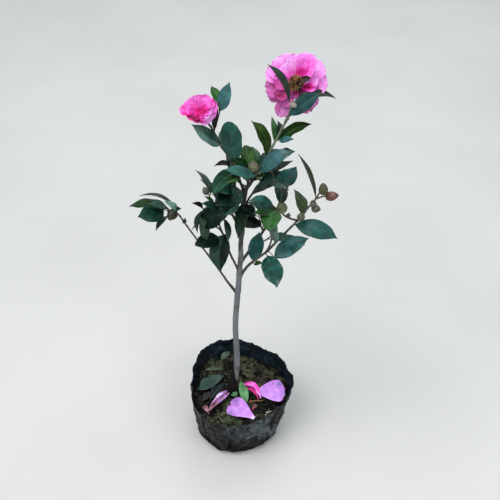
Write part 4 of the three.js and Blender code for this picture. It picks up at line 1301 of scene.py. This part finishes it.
bag_mats = [
    material("film_black", rgb(5, 6, 9), rgb(16, 18, 23), scale=34, detail=7, roughness=.46,
             rough_span=.14, bump=.5, bump_scale=300, specular=.15),
    material("film_faint_dust_and_glint", rgb(24, 28, 33), rgb(48, 52, 58), scale=60, detail=8, roughness=.55,
             rough_span=.14, bump=.5, bump_scale=300, specular=.28,
             third=rgb(18, 22, 27), third_scale=70, third_at=(.50, .62)),
    material("film_dust_and_glint", rgb(62, 70, 75), rgb(100, 108, 111), scale=75, detail=8, roughness=.72,
             rough_span=.12, bump=.6, bump_scale=340, specular=.3,
             third=rgb(44, 49, 54), third_scale=80, third_at=(.50, .62)),
    material("film_mud", rgb(18, 17, 15), rgb(38, 35, 30), scale=65, detail=8, roughness=.88,
             rough_span=.08, bump=.8, bump_scale=380, specular=.1,
             third=rgb(14, 14, 15), third_scale=60, third_at=(.48, .60)),
    material("film_inside", rgb(8, 18, 25), rgb(24, 38, 47), scale=40, detail=7, roughness=.36,
             rough_span=.14, bump=.5, bump_scale=300, specular=.5),
]

# ---------------------------------------------------------------- the soil
SOIL = 84.0
soil = Soup()
NR, NS = 92, 300
ws = np.linspace(0, 2 * math.pi, NS, endpoint=False)
rr = np.linspace(0, 1, NR) ** .8
WR, RR = np.meshgrid(ws, rr)
edge_share = .77
wall_in = wall_radius(ws, edge_share * np.ones(NS)) + folds(ws[None], np.full((1, NS), edge_share))[0][0] - 2.4
X = np.cos(WR) * RR * wall_in[None]
Y = np.sin(WR) * RR * wall_in[None]
foot_xy = at_y(233, 388, -11)[:2]
near_foot = np.hypot(X - foot_xy[0], Y - foot_xy[1])
heap = np.exp(-(near_foot / 17.0) ** 2)
flat = np.stack([X, Y, 0 * X], -1)
Zs = SOIL - 3.0 - 5.5 * RR**6 + 8.5 * heap
Zs += 5.0 * rough(flat / 24.0, 61, 5)
Zs += 2.0 * (1 - 2 * np.abs(rough(flat / 7.5 + 5, 62, 4)))
Zs += 2.2 * (creased(flat + 3 * rough(flat / 8, 64, 2)[..., None], 7.0, 6) - .5)
Zs = np.minimum(Zs, SOIL + 3.4 + 9 * heap)
top = np.stack([X, Y, Zs], -1)
skirt = np.stack([X[-1] * .91, Y[-1] * .91, np.full(NS, SOIL - 18)], -1)
V = np.vstack([top.reshape(-1, 3), skirt, [[0, 0, SOIL - 18]]])
F, M = [], []
tone = rough(flat / 17, 66, 4) + .5 * rough(flat / 5, 67, 3)
# soft patches placed in the view make the soil darker or paler; the darker ones are painted shade from the bag's wall
# on the left and from the litter
for u, v, wide, amount in ((201, 402, 20, -1.0), (262, 405, 14, -1.0), (212, 378, 22, -.5), (226, 417, 12, .8),
                           (262, 368, 24, .22), (240, 352, 16, .15)):
    spot = at_z(u, v, SOIL)
    tone = tone + amount * np.exp(-((X - spot[0]) / wide) ** 2 - ((Y - spot[1]) / wide) ** 2)
# round the trunk's foot the soil takes its darkest tone: dark wet soil and painted shade
for q in grid_faces(NR, NS, wrap=True):
    if len(set(q)) < 3:
        continue
    i, j = divmod(q[0], NS)
    F.append(q)
    M.append(3 if near_foot[i, j] < 13 + 9 * tone[i, j] else
             2 if tone[i, j] > .16 else 1 if tone[i, j] < -.12 else 0)
for j in range(NS):
    k = (j + 1) % NS
    a = (NR - 1) * NS
    F.append((a + j, a + k, NR * NS + k, NR * NS + j))
    F.append((NR * NS + NS, NR * NS + j, NR * NS + k))
    M += [0, 0]
soil.add(V, F, M)


def ground(x, y):
    """Height of the soil at a point."""
    ang = math.atan2(y, x) % (2 * math.pi)
    j = ang / (2 * math.pi) * NS
    j0 = int(j) % NS
    edge = wall_in[j0]
    q = min(1.0, math.hypot(x, y) / edge)
    i = int(np.argmin(np.abs(rr - q)))
    return Zs[i, j0], q


# where the soil takes its dark tone, painted shade in part, or lies round the foot; crumbs and rootlets there take
# dark tones too
def is_dark(x, y):
    j0 = int((math.atan2(y, x) % (2 * math.pi)) / (2 * math.pi) * NS) % NS
    i = int(np.argmin(np.abs(rr - min(1.0, math.hypot(x, y) / wall_in[j0]))))
    return tone[i, j0] < -.12 or near_foot[i, j0] < 16


soil_mats = [
    material("soil", rgb(36, 34, 27), rgb(74, 70, 58), scale=110, detail=8, roughness=.95,
             rough_span=.04, bump=1.0, bump_scale=420, specular=.15,
             third=rgb(24, 22, 18), third_scale=60, third_at=(.50, .60)),
    material("soil_dark", rgb(9, 9, 9), rgb(26, 25, 23), scale=110, detail=8, roughness=.92,
             rough_span=.05, bump=1.0, bump_scale=420, specular=.08,
             third=rgb(42, 41, 35), third_scale=80, third_at=(.60, .68)),
    material("soil_moss", rgb(42, 50, 34), rgb(92, 100, 74), scale=150, detail=8, roughness=.95,
             rough_span=.04, bump=1.0, bump_scale=600, specular=.1,
             third=rgb(40, 38, 28), third_scale=70, third_at=(.50, .62)),
    material("soil_foot", rgb(11, 9, 9), rgb(32, 26, 24), scale=110, detail=8, roughness=.85,
             rough_span=.08, bump=1.0, bump_scale=420, specular=.08,
             third=rgb(56, 52, 46), third_scale=80, third_at=(.60, .68)),
]

# clods and crumbs
crumbs = Soup()
c_ = rs(90)


def lump(soup_, c, r, mat, seed, squash=.7):
    P, F = ICO
    d = P * (1 + .35 * value_noise(P * 1.7 + seed, seed % 97)[:, None])
    soup_.add(np.asarray(c) + d * np.array([r, r, r * squash]), F, mat)


def ico():
    t = (1 + 5**.5) / 2
    v = [(-1, t, 0), (1, t, 0), (-1, -t, 0), (1, -t, 0), (0, -1, t), (0, 1, t), (0, -1, -t), (0, 1, -t),
         (t, 0, -1), (t, 0, 1), (-t, 0, -1), (-t, 0, 1)]
    fs = [(0, 11, 5), (0, 5, 1), (0, 1, 7), (0, 7, 10), (0, 10, 11), (1, 5, 9), (5, 11, 4), (11, 10, 2),
          (10, 7, 6), (7, 1, 8), (3, 9, 4), (3, 4, 2), (3, 2, 6), (3, 6, 8), (3, 8, 9), (4, 9, 5), (2, 4, 11),
          (6, 2, 10), (8, 6, 7), (9, 8, 1)]
    v = [unit(p) for p in v]
    for _ in range(1):
        cut, nf = {}, []

        def mid(a, b):
            key = (min(a, b), max(a, b))
            if key not in cut:
                v.append(unit(v[a] + v[b]))
                cut[key] = len(v) - 1
            return cut[key]
        for a, b, c in fs:
            ab, bc, ca = mid(a, b), mid(b, c), mid(c, a)
            nf += [(a, ab, ca), (b, bc, ab), (c, ca, bc), (ab, bc, ca)]
        fs = nf
    return np.array(v), fs


ICO = ico()
for i in range(900):
    w0, q = c_.uniform(0, 6.283), math.sqrt(c_.uniform(0, 1)) * .96
    R0 = q * np.interp(w0, ws, wall_in)
    x, y = R0 * math.cos(w0), R0 * math.sin(w0)
    z, _ = ground(x, y)
    r = c_.choice([.8, 1.1, 1.6, 2.3, 3.2], p=[.34, .3, .2, .12, .04])
    clod = int(c_.choice([0, 1, 2, 3], p=[.42, .30, .18, .10]))
    lump(crumbs, (x, y, z + r * .15), r, 1 if is_dark(x, y) and clod != 3 else clod, i)
for i, (u, v) in enumerate([(267, 411.5), (268.8, 410.4), (265.6, 413), (271, 409.5), (221.5, 353.8)]):
    p = at_z(u, v, SOIL)
    lump(crumbs, (p[0], p[1], ground(p[0], p[1])[0] + 1.4), 1.7 - .2 * i, 4, 700 + i)

# rootlets and dry threads on the soil
threads = Soup()
for i in range(170):
    w0, q = c_.uniform(0, 6.283), math.sqrt(c_.uniform(0, 1)) * .95
    R0 = q * np.interp(w0, ws, wall_in)
    x, y = R0 * math.cos(w0), R0 * math.sin(w0)
    head = c_.uniform(0, 6.283)
    L = c_.uniform(10, 34)
    pts = []
    for k in range(9):
        z, q2 = ground(x, y)
        if q2 > .97:
            break
        pts.append((x, y, z + .5 + c_.uniform(0, 1.4)))
        head += c_.uniform(-.5, .5)
        x += math.cos(head) * L / 8
        y += math.sin(head) * L / 8
    if len(pts) >= 4:
        line = spline(np.array(pts), 2.0)
        hue = int(c_.choice([0, 1, 2], p=[.3, .45, .25]))
        tube(threads, line, c_.uniform(.2, .38), 5, 1 if is_dark(*line[len(line) // 2, :2]) else hue)
# an old flower stalk with its scar
u, v = zip((251.8, 401.4), (256, 400.6), (260.5, 401), (264.6, 399.4))
line = [at_z(a, b, SOIL + 5.5) for a, b in zip(u, v)]
pts = spline(np.array(line), 1.5)
tube(threads, pts, np.linspace(1.2, .6, len(pts)), 8, 3)
tube(threads, np.array([line[0] + (line[0] - line[1]) * k for k in (0, .2, .45, .6)]), [1.3, 2.0, 1.8, .8], 8, 4)

thread_mats = [material("rootlet_pale", rgb(82, 78, 56), rgb(116, 108, 80), scale=90, roughness=.8, bump=.2),
               material("rootlet_dark", rgb(54, 44, 32), rgb(78, 64, 44), scale=90, roughness=.85, bump=.2),
               material("grass_blade", rgb(62, 70, 40), rgb(98, 104, 60), scale=90, roughness=.7, bump=.2),
               material("dry_stalk", rgb(96, 72, 44), rgb(136, 104, 66), scale=90, roughness=.7, bump=.3),
               material("dry_stalk_end", rgb(150, 62, 38), rgb(190, 88, 52), scale=90, roughness=.6, bump=.3)]

# --------------------------------------------------- litter lying on the soil
litter = Soup()


def lay_leaf(bx_, by_, tx_, ty_, W, kind, lift=2.0, tip_lift=2.0, zb=None, **kw):
    B = at_z(bx_, by_, SOIL + lift)
    T = at_z(tx_, ty_, SOIL + lift + tip_lift)
    P, nn = leaf_shape(B, T, np.array([0, 0, 1.0]), W, **kw)
    put_leaf(litter, P, nn, kind)


K = LEAF_KINDS.index
lay_leaf(198, 389.5, 224, 375.6, 25, K("dk"), 4, 3, arch=.05, fold=.10, wave=.06, phase=2.0)
lay_leaf(204.5, 370.6, 223, 370.4, 7.5, K("dd"), 7, 1, arch=.12, fold=.35, wave=.08)
lay_leaf(221, 360, 231, 351.6, 12, K("dd"), 4, 6, arch=.12, fold=.30, wave=.08)
lay_leaf(210, 400, 225, 383, 17, K("pu"), 2, 2, arch=.10, fold=.25, wave=.12)
lay_leaf(202, 402, 213, 391, 12, K("dp"), 1, 1, arch=.10, fold=.25, wave=.12)
lay_leaf(246.4, 403, 240.2, 381.4, 15.5, K("pg"), 5, 9, arch=.06, fold=.30, wave=.05)
lay_leaf(235.4, 396.5, 232, 389.6, 5.2, K("pg"), 9, 3, arch=.1, fold=.2)
lay_leaf(235.4, 396.5, 236.6, 390.8, 4.6, K("pg"), 9, 5, arch=.1, fold=.2)
lay_leaf(235.0, 396.5, 230.4, 394.6, 4.0, K("pg"), 9, 1, arch=.1, fold=.2)

fallen = Soup()


def lay_petal(bx_, by_, tx_, ty_, W, bands, lift=4.0, rise=0.0, tilt=(0, 0), **kw):
    """A petal on the soil, from its narrow end to its rim."""
    B = at_z(bx_, by_, SOIL + lift)
    T = at_z(tx_, ty_, SOIL + lift + rise)
    up = np.array([tilt[0], tilt[1], 1.0])
    d = T - B
    up = unit(up - (up @ unit(d)) * unit(d))
    put_petal(fallen, B, d, up, np.linalg.norm(d) / .94, W, bands, **kw)




def fallen_paint(tones, seed, grain=9.0):
    """Tones along a petal from its claw to its rim, run into each other along its veins."""
    def paint(P, tm, sm):
        v = tm * len(tones) - .5 + .8 * value_noise(np.stack([sm * 7, tm * 2, 0 * tm], -1), seed) \
            + 1.3 * rough(P / grain, 500 + seed, 3)
        return np.array(tones)[np.clip(np.round(v), 0, len(tones) - 1).astype(int)]
    return paint


LILACS = np.array([P_BLUSH, P_LILAC, P_VIOLET, P_MAUVE, P_PLUM, P_WILT])


def lilac_paint(seed, spots, specks=()):
    """A lilac petal: pale at its claw, darker or paler in soft spots, the darker ones painted shade where its edges
    turn, and with small bruised specks.
    """
    def paint(P, tm, sm):
        v = np.interp(tm, [0, .10, .25, 1], [-.2, .8, 1.1, 1.2]) + soft_spots(P, spots) + .5 * rough(P / 9.0, 500 + seed, 3)
        v = v + .35 * value_noise(np.stack([sm * 8, tm * 1.6, 0 * tm], -1), seed)
        out = LILACS[np.clip(np.round(v), 0, 4).astype(int)]
        return np.where(soft_spots(P, specks) > .5, P_WILT, out)
    return paint


lay_petal(254.0, 392.4, 284.2, 392.2, 40, None, 6, 0, (.05, -.2), a0=16, a1=-16, cup=.14, ruffle=.035, notch=.04,
          phase=1.0, nu=33, nv=31,
          paint=lilac_paint(1, ((279, 384.5, 3.6, 3.2, 3.0), (283.5, 393, 2.6, 5, 2.2), (271, 380.5, 4, 2, 1.2),
                                (262, 392, 5, 3, -.5)), ((273, 383.4, 1.0, .8, 1.0),)))
lay_petal(254.2, 418.2, 229.6, 404, 35, None, 6, 1, (-.05, -.25), a0=16, a1=-18, cup=.12, ruffle=.05, notch=.10,
          phase=2.4, nu=33, nv=31,
          paint=lilac_paint(2, ((230.8, 413, 2.8, 4.5, 2.7), (236.6, 401, 4, 3, 2.7), (246, 404, 3, 3, 1.2),
                                (246, 414, 5, 4, -.4)),
                            ((229.6, 405.6, .9, .8, 1.0), (235.6, 414.6, 1.0, .8, 1.0), (238.4, 405, .7, .7, 1.0))))
B = B0
lay_petal(260.6, 398.4, 242.6, 385.0, 11, None, 9, 2, (.3, -.4), a0=30, a1=-30, cup=.5, ruffle=.03, notch=0,
          phase=.4, nu=21, nv=13, bend=-.20, paint=fallen_paint([B + 8, B + 6, B + 4, B + 5, B + 6, B + 4, B + 5], 3))
lay_petal(258.5, 399.5, 245, 388.2, 7, None, 6, 0, (0, 0), a0=10, a1=-10, cup=.3, ruffle=.03, notch=0, phase=.4,
          nu=11, nv=9, bend=-.15, paint=fallen_paint([B + 2, B + 3, B + 3, B + 2], 4))
lay_petal(207.4, 412.4, 228.6, 391.6, 17, None, 4, 3, (-.3, -.1), a0=10, a1=-10, cup=.30, ruffle=.16, notch=.1,
          phase=3.0, nu=25, nv=17,
          paint=fallen_paint([P_WILT, P_DRY, P_WILT, P_DRY, P_MAUVE, P_DRY, P_LILAC, P_DRY, P_MAUVE], 5, 3.0))
lay_petal(210.5, 405.4, 225.6, 391.4, 8, None, 8, 2, (-.5, .1), a0=12, a1=-16, cup=.45, ruffle=.08, notch=.0,
          phase=1.2, nu=19, nv=11, paint=fallen_paint([P_DRY, P_LILAC, P_DRY, P_BLUSH, P_MAUVE, P_DRY], 6, 2.5))
lay_petal(252, 410, 256, 405, 7, [P_RED, P_WILT, P_WILT], 4, 0, (0, 0), a0=10, a1=-10, cup=.3, ruffle=.08,
          phase=.4, nu=9, nv=7)
lay_petal(209, 414, 204, 406, 9, None, 3, 1, (0, 0), a0=10, a1=-10, cup=.3, ruffle=.12, phase=2.4, nu=11, nv=9,
          paint=fallen_paint([P_WILT, P_DRY, P_WILT, P_WILT], 7, 2.5))

# ------------------------------------------------------------ make the pieces
MASSES = [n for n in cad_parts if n.startswith("foliage_")]
BLOSSOM = [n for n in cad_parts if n.startswith("blossom_")]
WOODEN = [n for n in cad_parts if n.startswith(("trunk", "leader_", "bough_"))]
make("leaves", leaves, leaf_mats, MASSES)
make("leaf_stalks", stalks, [stalk_mat])
make("stems", wood, [bark, bark_wet_and_shade, bark_dark_and_shade, bark_brown, shoot_bark], WOODEN)
make("twigs", twigs, [twig_bark])
make("flowers", blooms, petal_mats, BLOSSOM)
make("stamens", stamens, [material("filament", rgb(150, 104, 70), rgb(182, 136, 92), roughness=.6),
                          material("anther", rgb(134, 96, 46), rgb(186, 138, 76), roughness=.8, bump=.3),
                          material("anther_brown", rgb(42, 26, 12), rgb(78, 52, 28), roughness=.8, bump=.3)])
make("flower_sepals", sepals, [bud_mats[1], bud_mats[2]])
make("buds", buds, bud_mats)
make("bag", bag, bag_mats, ["grow_bag"])
make("soil_surface", soil, soil_mats, ["root_ball"])
make("soil_crumbs", crumbs, soil_mats + [material("fleck", rgb(176, 178, 166), rgb(206, 206, 194), scale=90,
                                                      roughness=.9, bump=.4, bump_scale=500)])
make("rootlets", threads, thread_mats)
make("fallen_leaves", litter, leaf_mats)
make("fallen_petals", fallen, petal_mats)

# ------------------------------------------------------------- floor and light
fl = bpy.data.meshes.new("floor")
fl.from_pydata([(-9, -9, 0), (9, -9, 0), (9, 9, 0), (-9, 9, 0)], [], [(0, 1, 2, 3)])
floor = bpy.data.objects.new("floor", fl)
bpy.context.scene.collection.objects.link(floor)
fm = material("floor_pale", rgb(206, 203, 197), rgb(212, 209, 203), scale=3, roughness=.9, rough_span=.02,
              specular=.1)
fl.materials.append(fm)

world = bpy.data.worlds.new("world")
bpy.context.scene.world = world
world.use_nodes = True
bg = world.node_tree.nodes["Background"]
bg.inputs["Color"].default_value = (0.80, 0.90, 1.0, 1.0)
sky = world.node_tree.nodes
sky_at, sky_split, sky_level = sky.new("ShaderNodeTexCoord"), sky.new("ShaderNodeSeparateXYZ"), sky.new("ShaderNodeMapRange")
sky_level.inputs["From Min"].default_value = 0.0
sky_level.inputs["From Max"].default_value = 1.0
sky_level.inputs["To Min"].default_value = 0.50 * LIGHT  # at the horizon
sky_level.inputs["To Max"].default_value = 0.82 * LIGHT  # overhead
world.node_tree.links.new(sky_at.outputs["Generated"], sky_split.inputs["Vector"])
world.node_tree.links.new(sky_split.outputs["Z"], sky_level.inputs["Value"])
world.node_tree.links.new(sky_level.outputs["Result"], bg.inputs["Strength"])


def area(name, loc, target, size, watts, colour=(1, 1, 1)):
    ld = bpy.data.lights.new(name, "AREA")
    ld.shape = "DISK"
    ld.size = size
    ld.energy = watts
    ld.color = colour
    ob = bpy.data.objects.new(name, ld)
    ob.location = loc
    d = np.array(target) - np.array(loc)
    ob.rotation_euler = (math.atan2(math.hypot(d[0], d[1]), -d[2]), 0, math.atan2(-d[0], d[1]))
    bpy.context.scene.collection.objects.link(ob)
    return ob


area("key", (-0.9, -0.6, 2.6), (0, 0, .35), 1.8, 42 * LIGHT)
area("fill", (1.6, -1.4, 1.8), (0, 0, .4), 1.6, 16 * LIGHT)
area("back", (0.3, 2.0, 2.2), (0, 0, .45), 1.8, 16 * LIGHT, (.92, .96, 1))
